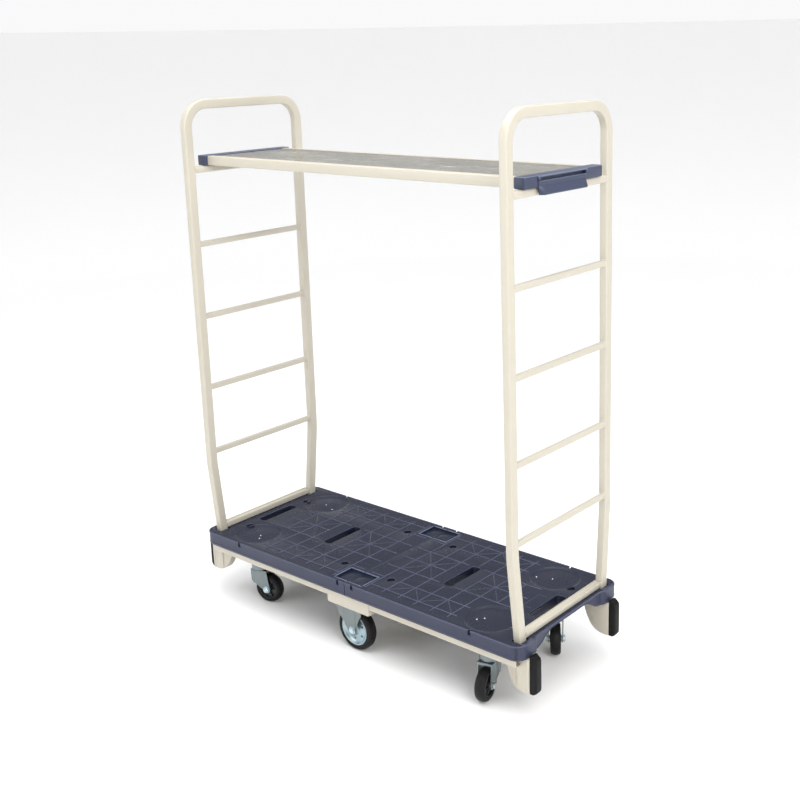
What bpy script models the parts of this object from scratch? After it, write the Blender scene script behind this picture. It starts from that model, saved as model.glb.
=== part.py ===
"""Long platform cart: a two-piece plastic deck on a steel underframe, six casters,
two ladder end frames that plug into the deck, and a shelf hooked between them.

Metres, +Z up. X runs along the deck, Y across it; the origin is on the floor
under the middle of the deck.
"""
import math

import bmesh
import bpy
from mathutils import Matrix, Vector

# ---- driving dimensions (metres) -------------------------------------------------
GAP = 0.0003                 # clearance between neighbouring pieces

DECK_L, DECK_W = 1.200, 0.454
DECK_TOP, SKIRT_H = 0.216, 0.041
DECK_CORNER_R, DECK_HOLLOW_R = 0.034, 0.012
DECK_SKIN, DECK_WALL, DECK_END_WALL = 0.009, 0.006, 0.014
SLOT_X, SLOT_L, SLOT_W = (0.233, 0.521), 0.140, 0.030
END_STEP_X, END_STEP_Y = 0.592, 0.144     # the end face steps back between corners

RAIL_L, RAIL_Y, RAIL_D = 1.156, 0.215, 0.018
RAIL_Z0, RAIL_Z1 = 0.152, 0.2066
STEEL = 0.003

BEAM_HALF_X, BEAM_HALF_Y, BEAM_Z0 = 0.080, 0.216, 0.134
CROSS_X, CROSS_HALF_X, CROSS_HALF_Y, CROSS_Z0 = 0.443, 0.052, 0.192, 0.140

LEG_Y0, LEG_Y1, LEG_X0, LEG_X1 = 0.167, 0.1967, 0.531, 0.604
BUMPER_Y0, BUMPER_Y1 = 0.167, 0.194
BUMPER_X1, BUMPER_Z0, BUMPER_Z1, BUMPER_CHAMFER = 0.6235, 0.081, 0.184, 0.007

SWIVEL_X, SWIVEL_Y, TRAIL = 0.443, 0.147, 0.0285
CORNER_R, CORNER_W, CORNER_AXLE_R = 0.045, 0.029, 0.0058
CORNER_TURN = {"near_left": 15, "near_right": -77, "far_right": -54, "far_left": 24}

MIDDLE_Y, MIDDLE_R, MIDDLE_W, MIDDLE_DISC_R = 0.182, 0.0625, 0.030, 0.047
MIDDLE_AXLE_R = 0.006

TUBE_X, TUBE_W, TUBE_EDGE = 0.022, 0.026, 0.003   # frame tube section
FRAME_X, FRAME_HALF_Y, FRAME_TOP, FRAME_BEND_R = 0.559, 0.218, 1.502, 0.078
FRAME_BEND_Z, FOOT_HALF_Y, FOOT_Z0 = 0.440, 0.197, 0.180
BEND_LEAN, FOOT_LEAN = 0.005, 0.009      # outward lean at the bend and at the deck
RUNG_Z, RUNG_DEEP, RUNG_TALL = (0.469, 0.669, 0.884, 1.096), 0.012, 0.016
SHELF_BAR_Z, SHELF_BAR_R = 1.3085, 0.0095
SILL_Z0, SILL_Z1 = 0.2165, 0.2325

SHELF_TOP, SHELF_H, SHELF_HALF_Y, SHELF_HALF_X = 1.345, 0.026, 0.150, 0.545
CHANNEL_D, SHEET_T = 0.020, 0.003
CAP_X1, CAP_HALF_Y, CAP_TOP = 0.577, 0.160, 1.347
GRIP_Y0, GRIP_Y1, GRIP_PIVOT_Z = -0.112, 0.092, 1.3455

IVORY = (0.78, 0.74, 0.62)
NAVY = (0.072, 0.078, 0.130)
CAP_BLUE = (0.100, 0.120, 0.200)
RUBBER = (0.018, 0.019, 0.020)
ZINC = (0.56, 0.60, 0.60)
SHEET_GREY = (0.34, 0.33, 0.30)

SIDES = {"left": -1, "right": 1}
CORNERS = {"near_left": (-1, -1), "near_right": (1, -1), "far_left": (-1, 1),
           "far_right": (1, 1)}


# ---- scene and small tools ---------------------------------------------------------
def clear_scene():
    for item in list(bpy.data.objects):
        bpy.data.objects.remove(item, do_unlink=True)


def collection(name):
    made = bpy.data.collections.new(name)
    bpy.context.scene.collection.children.link(made)
    return made


clear_scene()
CART = collection("folding_platform_cart")
CUTTERS = collection("cutters")


def finish_material(name, colour, roughness, metallic=0.0):
    mat = bpy.data.materials.new(name)
    mat.use_nodes = True
    shader = mat.node_tree.nodes["Principled BSDF"]
    shader.inputs["Base Color"].default_value = (*colour, 1.0)
    shader.inputs["Roughness"].default_value = roughness
    shader.inputs["Metallic"].default_value = metallic
    mat.diffuse_color = (*colour, 1.0)
    return mat


def painted(name):
    return finish_material(name, IVORY, 0.38)


def zinc(name):
    return finish_material(name, ZINC, 0.35, 0.9)


def rubber(name):
    return finish_material(name, RUBBER, 0.6)


def add(name, mesh, mat, where=CART):
    made = bpy.data.objects.new(name, mesh)
    where.objects.link(made)
    mesh.name = name
    if mat is not None:
        mesh.materials.clear()
        mesh.materials.append(mat)
    return made


def mesh_of(bm, name):
    bmesh.ops.recalc_face_normals(bm, faces=bm.faces)
    mesh = bpy.data.meshes.new(name)
    bm.to_mesh(mesh)
    bm.free()
    return mesh


def box_mesh(name, lo, hi):
    bm = bmesh.new()
    bmesh.ops.create_cube(bm, size=1.0)
    size = [b - a for a, b in zip(lo, hi)]
    middle = [(a + b) / 2 for a, b in zip(lo, hi)]
    bmesh.ops.scale(bm, vec=size, verts=bm.verts)
    bmesh.ops.translate(bm, vec=middle, verts=bm.verts)
    return mesh_of(bm, name)


def rod_mesh(name, radius, length, axis="Z", segments=16):
    bm = bmesh.new()
    bmesh.ops.create_cone(bm, cap_ends=True, segments=segments, radius1=radius,
                          radius2=radius, depth=length)
    turn = {"X": Matrix.Rotation(math.pi / 2, 4, "Y"),
            "Y": Matrix.Rotation(math.pi / 2, 4, "X"), "Z": Matrix.Identity(4)}[axis]
    bmesh.ops.transform(bm, matrix=turn, verts=bm.verts)
    return mesh_of(bm, name)


def smooth(item, angle=35):
    item.data.shade_smooth()
    item.data.set_sharp_from_angle(angle=math.radians(angle))
    return item


def plate_mesh(name, outline, thickness, plane="XY", edge=0.0):
    """A flat outline extruded to a thickness, in the XY, XZ or YZ plane."""
    curve = bpy.data.curves.new(name, "CURVE")
    curve.dimensions = "2D"
    curve.fill_mode = "BOTH"
    curve.extrude = thickness / 2 - edge
    if edge:
        curve.bevel_depth = edge
        curve.bevel_resolution = 1
        curve.offset = -edge
    line = curve.splines.new("POLY")
    line.points.add(len(outline) - 1)
    for point, (u, v) in zip(line.points, outline):
        point.co = (u, v, 0.0, 1.0)
    line.use_cyclic_u = True
    guide = bpy.data.objects.new(name + "_outline", curve)
    CUTTERS.objects.link(guide)
    bpy.context.view_layer.update()
    seen = guide.evaluated_get(bpy.context.evaluated_depsgraph_get())
    mesh = bpy.data.meshes.new_from_object(seen)
    bpy.data.objects.remove(guide, do_unlink=True)
    bpy.data.curves.remove(curve)
    bm = bmesh.new()
    bm.from_mesh(mesh)
    bmesh.ops.remove_doubles(bm, verts=bm.verts, dist=1e-5)
    turn = {"XY": Matrix.Identity(4),
            "XZ": Matrix.Rotation(math.pi / 2, 4, "X"),
            "YZ": Matrix(((0, 0, 1, 0), (1, 0, 0, 0), (0, 1, 0, 0), (0, 0, 0, 1)))}[plane]
    bmesh.ops.transform(bm, matrix=turn, verts=bm.verts)
    bpy.data.meshes.remove(mesh)
    return mesh_of(bm, name)


def turned_mesh(name, profile, closed, segments, axis="Z"):
    """A profile of (radius, height) points spun round an axis with a Screw modifier."""
    bm = bmesh.new()
    dots = [bm.verts.new((r, 0.0, z)) for r, z in profile]
    for a, b in zip(dots, dots[1:]):
        bm.edges.new((a, b))
    if closed:
        bm.edges.new((dots[-1], dots[0]))
    flat = bpy.data.meshes.new(name + "_profile")
    bm.to_mesh(flat)
    bm.free()
    item = bpy.data.objects.new(name + "_profile", flat)
    CUTTERS.objects.link(item)
    spin = item.modifiers.new("spin", "SCREW")
    spin.steps = spin.render_steps = segments
    spin.use_merge_vertices = True
    spin.merge_threshold = 0.00001
    bpy.context.view_layer.update()
    seen = item.evaluated_get(bpy.context.evaluated_depsgraph_get())
    mesh = bpy.data.meshes.new_from_object(seen)
    bpy.data.objects.remove(item, do_unlink=True)
    bpy.data.meshes.remove(flat)
    bm = bmesh.new()
    bm.from_mesh(mesh)
    bpy.data.meshes.remove(mesh)
    if axis == "Y":
        bmesh.ops.rotate(bm, matrix=Matrix.Rotation(math.pi / 2, 3, "X"), verts=bm.verts)
    return mesh_of(bm, name)


def combine(item, tool, how="DIFFERENCE"):
    """Boolean a tool object into an item and keep the result as the item's mesh."""
    tool.hide_render = True
    tool.display_type = "WIRE"
    step = item.modifiers.new("step", "BOOLEAN")
    step.operation = how
    step.solver = "EXACT"
    step.object = tool
    bpy.context.view_layer.update()
    seen = item.evaluated_get(bpy.context.evaluated_depsgraph_get())
    mesh = bpy.data.meshes.new_from_object(seen)
    item.modifiers.remove(step)
    old, item.data = item.data, mesh
    mesh.name = old.name
    bpy.data.meshes.remove(old)
    bpy.data.objects.remove(tool, do_unlink=True)
    return item


def cut_box(item, lo, hi):
    return combine(item, add("cut", box_mesh("cut", lo, hi), None, CUTTERS))


def arc(cx, cy, radius, start, end, steps):
    return [(cx + radius * math.cos(math.radians(start + (end - start) * i / steps)),
             cy + radius * math.sin(math.radians(start + (end - start) * i / steps)))
            for i in range(steps + 1)]


# ---- deck ---------------------------------------------------------------------------
def deck_outline(side, inset=0.0, end_inset=0.0):
    """Half a deck seen from above: square at the seam, rounded at the end corners."""
    x1, y1 = DECK_L / 2 - end_inset, DECK_W / 2 - inset
    r = DECK_CORNER_R if inset == 0 else DECK_HOLLOW_R
    x0 = GAP / 2 if inset == 0 else -0.01       # the hollow runs through the seam
    near = arc(x1 - r, -y1 + r, r, -90, 0, 6)
    far = arc(x1 - r, y1 - r, r, 0, 90, 6)
    dots = [(x0, -y1)] + near + far + [(x0, y1)]
    return dots if side > 0 else [(-x, y) for x, y in reversed(dots)]


def deck_half(name, side):
    body = plate_mesh(name, deck_outline(side), SKIRT_H, "XY")
    deck = add(name, body, finish_material(name, NAVY, 0.42))
    for v in deck.data.vertices:
        v.co.z += DECK_TOP - SKIRT_H / 2
    # hollow underside
    hollow_h = SKIRT_H - DECK_SKIN + 0.010
    hollow = add("hollow", plate_mesh("hollow", deck_outline(side, DECK_WALL, DECK_END_WALL),
                                      hollow_h),
                 None, CUTTERS)
    for v in hollow.data.vertices:
        v.co.z += DECK_TOP - DECK_SKIN - hollow_h / 2
    combine(deck, hollow)
    # the end face steps back between the corners and is arched below
    x0, x1 = sorted((side * END_STEP_X, side * (DECK_L / 2 + 0.01)))
    cut_box(deck, (x0, -END_STEP_Y, 0.15), (x1, END_STEP_Y, 0.25))
    low, high = DECK_TOP - SKIRT_H - 0.01, DECK_TOP - DECK_SKIN - 0.0004
    arch = [(-0.150, low), (-0.142, low + 0.012), (-0.105, high - 0.008), (-0.070, high),
            (0.070, high), (0.105, high - 0.008), (0.142, low + 0.012), (0.150, low)]
    tool = add("arch", plate_mesh("arch", arch, 0.06, "YZ"), None, CUTTERS)
    for v in tool.data.vertices:
        v.co.x += side * DECK_L / 2
    combine(deck, tool)
    for x in SLOT_X:
        hand_slot(deck, side * x)
    for y in (-1, 1):
        foot_pocket(deck, side, y)
    return deck


def hand_slot(deck, x):
    half, r = SLOT_L / 2, SLOT_W / 2
    ring = arc(x, half - r, r, 0, 180, 6) + arc(x, -half + r, r, 180, 360, 6)
    tool = add("slot", plate_mesh("slot", ring, 0.03), None, CUTTERS)
    for v in tool.data.vertices:
        v.co.z += DECK_TOP
    combine(deck, tool)


def foot_pocket(deck, side, y):
    x0, x1 = sorted((side * 0.5560, side * 0.5805))
    y0, y1 = sorted((y * 0.1655, y * 0.2005))
    cut_box(deck, (x0, y0, 0.19), (x1, y1, 0.23))


# ---- underframe -----------------------------------------------------------------------
def side_rail(name, y):
    """A C channel, open towards the middle of the cart."""
    out, back, t = RAIL_Y, RAIL_Y - RAIL_D, STEEL
    ring = [(out, RAIL_Z0), (out, RAIL_Z1), (back, RAIL_Z1), (back, RAIL_Z1 - t),
            (out - t, RAIL_Z1 - t), (out - t, RAIL_Z0 + t), (back, RAIL_Z0 + t),
            (back, RAIL_Z0)]
    if y < 0:
        ring = [(-u, v) for u, v in reversed(ring)]
    add(name, plate_mesh(name, ring, RAIL_L, "YZ"), painted(name))


def tray_beam(name, x, half_x, half_y, z0, z1, wall=STEEL, corner=0.0):
    """An inverted steel tray: a top plate with its four edges turned down."""
    if corner:
        ring = (arc(half_x - corner, half_y - corner, corner, 0, 90, 4)
                + arc(-half_x + corner, half_y - corner, corner, 90, 180, 4)
                + arc(-half_x + corner, -half_y + corner, corner, 180, 270, 4)
                + arc(half_x - corner, -half_y + corner, corner, 270, 360, 4))
        body = plate_mesh(name, ring, z1 - z0)
        beam = add(name, body, painted(name))
        for v in beam.data.vertices:
            v.co += Vector((x, 0, (z0 + z1) / 2))
    else:
        beam = add(name, box_mesh(name, (x - half_x, -half_y, z0),
                                  (x + half_x, half_y, z1)), painted(name))
    return cut_box(beam, (x - half_x + wall, -half_y + wall, z0 - 0.01),
                   (x + half_x - wall, half_y - wall, z1 - wall))


def corner_leg(name, sx, sy):
    """A pressed leg: straight outer end, swept inner edge, rounded toe."""
    inside = DECK_L / 2 - DECK_END_WALL - GAP
    skirt, seat = DECK_TOP - SKIRT_H - GAP, FOOT_Z0 - GAP
    ring = [(LEG_X1, skirt), (inside, skirt), (inside, seat), (LEG_X0, seat),
            (LEG_X0, 0.150), (0.5345, 0.134), (0.540, 0.117), (0.548, 0.100),
            (0.560, 0.087), (0.574, 0.082), (0.590, 0.0805), (LEG_X1, 0.0805)]
    if sx < 0:
        ring = [(-u, v) for u, v in reversed(ring)]
    leg = add(name, plate_mesh(name, ring, LEG_Y1 - LEG_Y0, "XZ"), painted(name))
    for v in leg.data.vertices:
        v.co.y += sy * (LEG_Y0 + LEG_Y1) / 2
    return leg


def bumper(name, sx, sy):
    """A rubber block on the outer end of a leg, its outer edges chamfered."""
    c = BUMPER_CHAMFER
    x0, x1 = LEG_X1 + GAP, BUMPER_X1
    y0, y1 = BUMPER_Y0, BUMPER_Y1
    ring = [(x0, y0), (x1 - c, y0), (x1, y0 + c), (x1, y1 - c), (x1 - c, y1), (x0, y1)]
    flip = [(sx * u, sy * v) for u, v in ring]
    if sx * sy < 0:
        flip.reverse()
    block = add(name, plate_mesh(name, flip, BUMPER_Z1 - BUMPER_Z0), rubber(name))
    for v in block.data.vertices:
        v.co.z += (BUMPER_Z0 + BUMPER_Z1) / 2
        outer = (abs(v.co.x) - x0) / (x1 - x0)
        if v.co.z > BUMPER_Z1 - 0.001:
            v.co.z -= 0.014 * outer
        else:
            v.co.z += 0.009 * outer
    return block


# ---- casters ---------------------------------------------------------------------------
def blade_outline(top_back, top_front, top_z, axle_x, axle_z, toe):
    toe_ring = arc(axle_x, axle_z, toe, 180, 360, 6)
    return toe_ring + [(top_front, top_z), (top_back, top_z)]


def fork_mesh(name, half_gap, blade_t, crown, axle, outline, bolt):
    """Two blades joined by a crown plate, with the axle through them if bolt is set."""
    x0, x1, z0, z1 = crown
    item = add(name, box_mesh(name, (x0, -half_gap - blade_t, z0),
                              (x1, half_gap + blade_t, z1)), None, CUTTERS)
    for side in (-1, 1):
        blade = add("blade", plate_mesh("blade", outline, blade_t, "XZ"), None, CUTTERS)
        for v in blade.data.vertices:
            v.co.y += side * (half_gap + blade_t / 2)
        combine(item, blade, "UNION")
    if bolt:
        radius, length, head = bolt
        rod = add("rod", rod_mesh("rod", radius, length, "Y", 12), None, CUTTERS)
        for v in rod.data.vertices:
            v.co += Vector((axle[0], 0, axle[1]))
        combine(item, rod, "UNION")
        for side in (-1, 1):
            nut = add("nut", rod_mesh("nut", head, 0.005, "Y", 6), None, CUTTERS)
            for v in nut.data.vertices:
                v.co += Vector((axle[0], side * (length / 2 - 0.0045), axle[1]))
            combine(item, nut, "UNION")
    mesh = item.data.copy()
    bpy.data.objects.remove(item, do_unlink=True)
    return mesh


def corner_casters():
    plate_z0, plate_z1 = CROSS_Z0 - 0.0045, CROSS_Z0 - GAP
    head_z0 = 0.1065
    fork_top = head_z0 - GAP
    half_gap = CORNER_W / 2 + 0.0045
    outline = blade_outline(-0.021, 0.029, fork_top - 0.004, TRAIL, CORNER_R, 0.0120)
    outline.append((-0.0205, 0.070))
    fork = fork_mesh("fork", half_gap, 0.0028, (-0.024, 0.031, fork_top - 0.006, fork_top),
                     (TRAIL, CORNER_R), outline, (CORNER_AXLE_R, 0.055, 0.0085))
    w, r = CORNER_W / 2, CORNER_R
    wheel = turned_mesh("wheel", [
        (CORNER_AXLE_R + GAP, w + 0.0015), (0.011, w + 0.0015), (0.012, w - 0.004),
        (0.026, w - 0.004), (0.028, w - 0.001), (r - 0.005, w), (r - 0.0012, w - 0.004),
        (r, 0.0), (r - 0.0012, -w + 0.004), (r - 0.005, -w), (0.028, -w + 0.001),
        (0.026, -w + 0.004), (0.012, -w + 0.004), (0.011, -w - 0.0015),
        (CORNER_AXLE_R + GAP, -w - 0.0015)], True, 28, "Y")
    for corner, (sx, sy) in CORNERS.items():
        here = Vector((sx * SWIVEL_X, sy * SWIVEL_Y, 0))
        plate = add("caster_plate_" + corner, box_mesh(
            "plate", (-0.045, -0.036, plate_z0), (0.045, 0.036, plate_z1)),
            zinc("caster_plate_" + corner))
        head = add("head", rod_mesh("head", 0.028, plate_z0 - head_z0 + 0.001, "Z", 24),
                   None, CUTTERS)
        for v in head.data.vertices:
            v.co.z += (plate_z0 + 0.001 + head_z0) / 2
        combine(plate, head, "UNION")
        plate.location = here
        swivel = add("caster_fork_" + corner, fork.copy(), zinc("caster_fork_" + corner))
        swivel.location = here
        swivel.rotation_euler.z = math.radians(CORNER_TURN[corner])
        roller = add("caster_wheel_" + corner, wheel.copy(), rubber("caster_wheel_" + corner))
        roller.parent = swivel
        roller.location = (TRAIL, 0, CORNER_R)
        smooth(roller)


def middle_casters():
    top = RAIL_Z0 - GAP - STEEL - GAP
    half_gap = MIDDLE_W / 2 + 0.0035
    outline = blade_outline(-0.060, 0.034, top - 0.004, 0.0, MIDDLE_R, 0.016)
    outline.append((-0.055, 0.112))
    w, r, d = MIDDLE_W / 2, MIDDLE_R, MIDDLE_DISC_R
    for row, sy in (("near", -1), ("far", 1)):
        y = sy * MIDDLE_Y
        fork = add("fixed_fork_" + row, fork_mesh(
            "fixed", half_gap, 0.003, (-0.062, 0.036, top - 0.006, top), None, outline,
            None), zinc("fixed_fork_" + row))
        fork.location = (0, y, 0)
        hole = add("hole", rod_mesh("hole", MIDDLE_AXLE_R + GAP, 0.08, "Y", 16), None,
                   CUTTERS)
        hole.location = (0, y, MIDDLE_R)
        combine(fork, hole)
        tyre = add("fixed_tyre_" + row, turned_mesh("tyre", [
            (d + GAP, w - 0.001), (r - 0.008, w), (r - 0.002, w - 0.004), (r, w - 0.010),
            (r, -w + 0.010), (r - 0.002, -w + 0.004), (r - 0.008, -w),
            (d + GAP, -w + 0.001)], True, 36, "Y"), rubber("fixed_tyre_" + row))
        disc = add("fixed_disc_" + row, turned_mesh("disc", [
            (MIDDLE_AXLE_R + GAP, w + 0.002), (0.013, w + 0.002), (0.016, w - 0.003),
            (0.024, w - 0.006), (0.036, w - 0.006), (0.042, w), (d, w - 0.0005),
            (d, -w + 0.0005), (0.042, -w), (0.036, -w + 0.006), (0.024, -w + 0.006),
            (0.016, -w + 0.003), (0.013, -w - 0.002), (MIDDLE_AXLE_R + GAP, -w - 0.002)],
            True, 36, "Y"), zinc("fixed_disc_" + row))
        axle = add("fixed_axle_" + row, rod_mesh("axle", MIDDLE_AXLE_R, 0.056, "Y", 16),
                   zinc("fixed_axle_" + row))
        for side in (-1, 1):
            nut = add("nut", rod_mesh("nut", 0.0095, 0.005, "Y", 6), None, CUTTERS)
            for v in nut.data.vertices:
                v.co.y += side * (half_gap + 0.003 + GAP + 0.0025)
            combine(axle, nut, "UNION")
        for part in (tyre, disc, axle):
            part.location = (0, y, MIDDLE_R)
            smooth(part)


# ---- end frames -----------------------------------------------------------------------
def hoop_outline():
    y, z, r, w = FRAME_HALF_Y, FRAME_TOP, FRAME_BEND_R, TUBE_W
    slope = (FRAME_HALF_Y - FOOT_HALF_Y) / (FRAME_BEND_Z - DECK_TOP)
    foot = FOOT_HALF_Y - slope * (DECK_TOP - FOOT_Z0)
    outer = [(foot, FOOT_Z0), (y, FRAME_BEND_Z)] + arc(y - r, z - r, r, 0, 90, 8)
    outer += arc(-y + r, z - r, r, 90, 180, 8) + [(-y, FRAME_BEND_Z), (-foot, FOOT_Z0)]
    inner = [(-foot + w, FOOT_Z0), (-y + w, FRAME_BEND_Z)]
    inner += arc(-y + r, z - r, r - w, 180, 90, 8) + arc(y - r, z - r, r - w, 90, 0, 8)
    inner += [(y - w, FRAME_BEND_Z), (foot - w, FOOT_Z0)]
    return outer + inner


def frame_x(z):
    """Middle line of an end frame: it leans out a little towards its feet."""
    spring = FRAME_TOP - FRAME_BEND_R
    lean = BEND_LEAN * min(1.0, max(0.0, spring - z) / (spring - FRAME_BEND_Z))
    foot = max(0.0, FRAME_BEND_Z - z) / (FRAME_BEND_Z - DECK_TOP)
    return FRAME_X + lean + (FOOT_LEAN - BEND_LEAN) * foot


def end_frame(side_name, side):
    name = "frame_hoop_" + side_name
    hoop = add(name, plate_mesh(name, hoop_outline(), TUBE_X, "YZ", TUBE_EDGE),
               painted(name))
    for v in hoop.data.vertices:
        v.co.x += side * frame_x(v.co.z)
    smooth(hoop)
    inside = FRAME_HALF_Y - TUBE_W - GAP
    for i, z in enumerate(RUNG_Z, 1):
        rung = add("frame_rung_%s_%d" % (side_name, i), box_mesh(
            "rung", (-RUNG_DEEP / 2, -inside, -RUNG_TALL / 2),
            (RUNG_DEEP / 2, inside, RUNG_TALL / 2)),
            painted("frame_rung_%s_%d" % (side_name, i)))
        rung.location = (side * (frame_x(z) + 0.001), 0, z)
    name = "frame_shelf_bar_" + side_name
    bar = add(name, rod_mesh(name, SHELF_BAR_R, 2 * inside, "Y", 16), painted(name))
    bar.location = (side * frame_x(SHELF_BAR_Z), 0, SHELF_BAR_Z)
    smooth(bar)
    name = "frame_sill_" + side_name
    x0, x1 = sorted((side * (FRAME_X - 0.001), side * (FRAME_X + 0.019)))
    half = FOOT_HALF_Y - TUBE_W - GAP
    add(name, box_mesh(name, (x0, -half, SILL_Z0), (x1, half, SILL_Z1)), painted(name))


# ---- shelf ----------------------------------------------------------------------------
def shelf():
    axis = bpy.data.objects.new("shelf_seat", None)
    axis.location = (-FRAME_X, 0, SHELF_BAR_Z)
    CART.objects.link(axis)
    z1, z0, t = SHELF_TOP, SHELF_TOP - SHELF_H, 0.002
    out, back = SHELF_HALF_Y, SHELF_HALF_Y - CHANNEL_D
    ring = [(out, z0), (out, z1), (back, z1), (back, z1 - t), (out - t, z1 - t),
            (out - t, z0 + t), (back, z0 + t), (back, z0)]
    pieces = []
    for row, sy in (("near", -1), ("far", 1)):
        name = "shelf_channel_" + row
        line = ring if sy > 0 else [(-u, v) for u, v in reversed(ring)]
        pieces.append(add(name, plate_mesh(name, line, 2 * SHELF_HALF_X - 2 * GAP, "YZ"),
                          painted(name)))
    sheet = (SHELF_HALF_X - GAP, back - GAP)
    pieces.append(add("shelf_sheet", box_mesh(
        "shelf_sheet", (-sheet[0], -sheet[1], z1 - 0.001 - SHEET_T),
        (sheet[0], sheet[1], z1 - 0.001)),
        finish_material("shelf_sheet", SHEET_GREY, 0.25, 0.3)))
    cap_z0 = SHELF_BAR_Z + SHELF_BAR_R + 0.0006
    for side_name, side in SIDES.items():
        x0, x1 = sorted((side * SHELF_HALF_X, side * CAP_X1))
        name = "shelf_cap_" + side_name
        cap = add(name, box_mesh(name, (x0, -CAP_HALF_Y, cap_z0),
                                 (x1, CAP_HALF_Y, CAP_TOP)),
                  finish_material(name, CAP_BLUE, 0.4))
        pieces.append(cap)
    x0 = CAP_X1 + GAP
    outline = [(x0, 1.345), (x0, 1.309), (0.582, 1.302), (0.588, 1.302), (0.593, 1.312),
               (0.594, 1.334), (0.588, 1.338), (0.584, 1.334), (0.582, 1.345)]
    grip = add("shelf_grip", plate_mesh("shelf_grip", outline, GRIP_Y1 - GRIP_Y0, "XZ"),
               finish_material("shelf_grip", CAP_BLUE, 0.4))
    for v in grip.data.vertices:
        v.co += Vector((-CAP_X1, (GRIP_Y0 + GRIP_Y1) / 2, -GRIP_PIVOT_Z))
    grip.location = (CAP_X1 + FRAME_X, 0, GRIP_PIVOT_Z - SHELF_BAR_Z)
    grip.parent = axis
    for piece in pieces:
        for v in piece.data.vertices:
            v.co -= axis.location
        piece.parent = axis


# ---- the cart -------------------------------------------------------------------------
def build():
    for side_name, side in SIDES.items():
        deck_half("deck_" + side_name, side)
        tray_beam("cross_beam_" + side_name, side * CROSS_X, CROSS_HALF_X, CROSS_HALF_Y,
                  CROSS_Z0, RAIL_Z0 - GAP)
        end_frame(side_name, side)
    side_rail("side_rail_near", -1)
    side_rail("side_rail_far", 1)
    tray_beam("middle_beam", 0.0, BEAM_HALF_X, BEAM_HALF_Y, BEAM_Z0, RAIL_Z0 - GAP,
              corner=0.012)
    for corner, (sx, sy) in CORNERS.items():
        corner_leg("leg_" + corner, sx, sy)
        bumper("bumper_" + corner, sx, sy)
    corner_casters()
    middle_casters()
    shelf()


build()
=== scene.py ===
"""Looks for the platform cart: detailed pieces, materials, light and camera built on
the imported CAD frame. Lengths in the code are millimetres unless a name says _m;
piece() turns them into metres. X runs along the deck, Y across it, Z is up.
"""
import math

import bmesh
import bpy
from mathutils import Matrix, Vector


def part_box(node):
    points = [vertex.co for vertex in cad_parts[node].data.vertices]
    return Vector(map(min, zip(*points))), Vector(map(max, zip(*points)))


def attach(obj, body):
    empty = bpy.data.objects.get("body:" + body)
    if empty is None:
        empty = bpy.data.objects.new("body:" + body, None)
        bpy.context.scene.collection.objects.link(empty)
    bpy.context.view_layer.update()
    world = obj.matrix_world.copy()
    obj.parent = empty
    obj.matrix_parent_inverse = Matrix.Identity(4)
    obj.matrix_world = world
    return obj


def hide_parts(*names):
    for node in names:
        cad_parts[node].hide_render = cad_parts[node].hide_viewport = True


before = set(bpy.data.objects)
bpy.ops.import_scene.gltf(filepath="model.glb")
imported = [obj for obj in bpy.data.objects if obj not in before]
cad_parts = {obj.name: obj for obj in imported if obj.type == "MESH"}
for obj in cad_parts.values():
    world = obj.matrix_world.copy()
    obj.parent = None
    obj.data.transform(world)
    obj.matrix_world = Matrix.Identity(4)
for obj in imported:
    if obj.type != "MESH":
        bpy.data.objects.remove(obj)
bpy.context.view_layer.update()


def cad(node):
    """A CAD node's lowest and highest corner in millimetres."""
    lo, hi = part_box(node)
    return lo * 1000, hi * 1000


def middle(node):
    """The middle of a CAD node's box in millimetres."""
    lo, hi = cad(node)
    return (lo + hi) / 2


# ---- main sizes, read from the CAD where it has them ------------------------------
GAP = 0.3
DECK_LO, DECK_HI = cad("deck_right")
DECK_X, DECK_Y = DECK_HI.x, DECK_HI.y            # outer half sizes of the deck
TOP, LOW = DECK_HI.z, DECK_LO.z                  # rim height and skirt bottom
FIELD = TOP - 1.3                                # the flat of the deck inside the rim
SKIN = 9.5
CORNER_R = 34.0
END_STEP_X, END_STEP_Y = 592.0, 144.0
RIM_NOTCH_X, NOTCH_W, NOTCH_H = (27.0, 440.0), 7.0, 13.0
SLOT_X, SLOT_HALF_L, SLOT_HALF_W = (233.0, 521.0), 68.0, 14.5
DISC_X, DISC_Y, DISC_R = 446.0, 143.0, 69.0
PAD_X, PAD_Y0, PAD_Y1 = 51.0, 145.0, 211.0
SCREWS = ((89.0, 133.0), (516.0, 117.0))
# bright zinc studs where the deck shows glints: painted glints
GLINT_SPOTS = ((418.0, -166.0), (431.0, -150.0), (400.0, 119.0), (443.0, 135.0))
POCKET_X, POCKET_Y = (553.5, 581.5), (163.5, 201.0)   # holes for the frames' feet
GRID_X0, GRID_STEP = 61.5, 57.5
GRID_Y = (65.0, 129.5, 184.0)

RAIL_LO, RAIL_HI = cad("side_rail_far")
BEAM_LO, BEAM_HI = cad("middle_beam")
LEG_LO, LEG_HI = cad("leg_far_right")
BUMP_LO, BUMP_HI = cad("bumper_far_right")

CORNERS = {"near_left": (-1, -1), "near_right": (1, -1), "far_left": (-1, 1),
           "far_right": (1, 1)}
SWIVEL = {c: middle("caster_plate_" + c) for c in CORNERS}
ARM = {c: middle("caster_wheel_" + c) - SWIVEL[c] for c in CORNERS}
TRAIL = Vector(ARM["near_left"].xy).length
WHEEL_R, WHEEL_W = middle("caster_wheel_near_left").z, 29.0
HUB = middle("fixed_disc_near")                   # the fixed wheels' axle, near side
FIXED_R, FIXED_W, DISC_FACE_R = HUB.z, 30.0, 47.0
SIDES = {"left": -1, "right": 1}
ROWS = {"near": -1, "far": 1}

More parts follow.
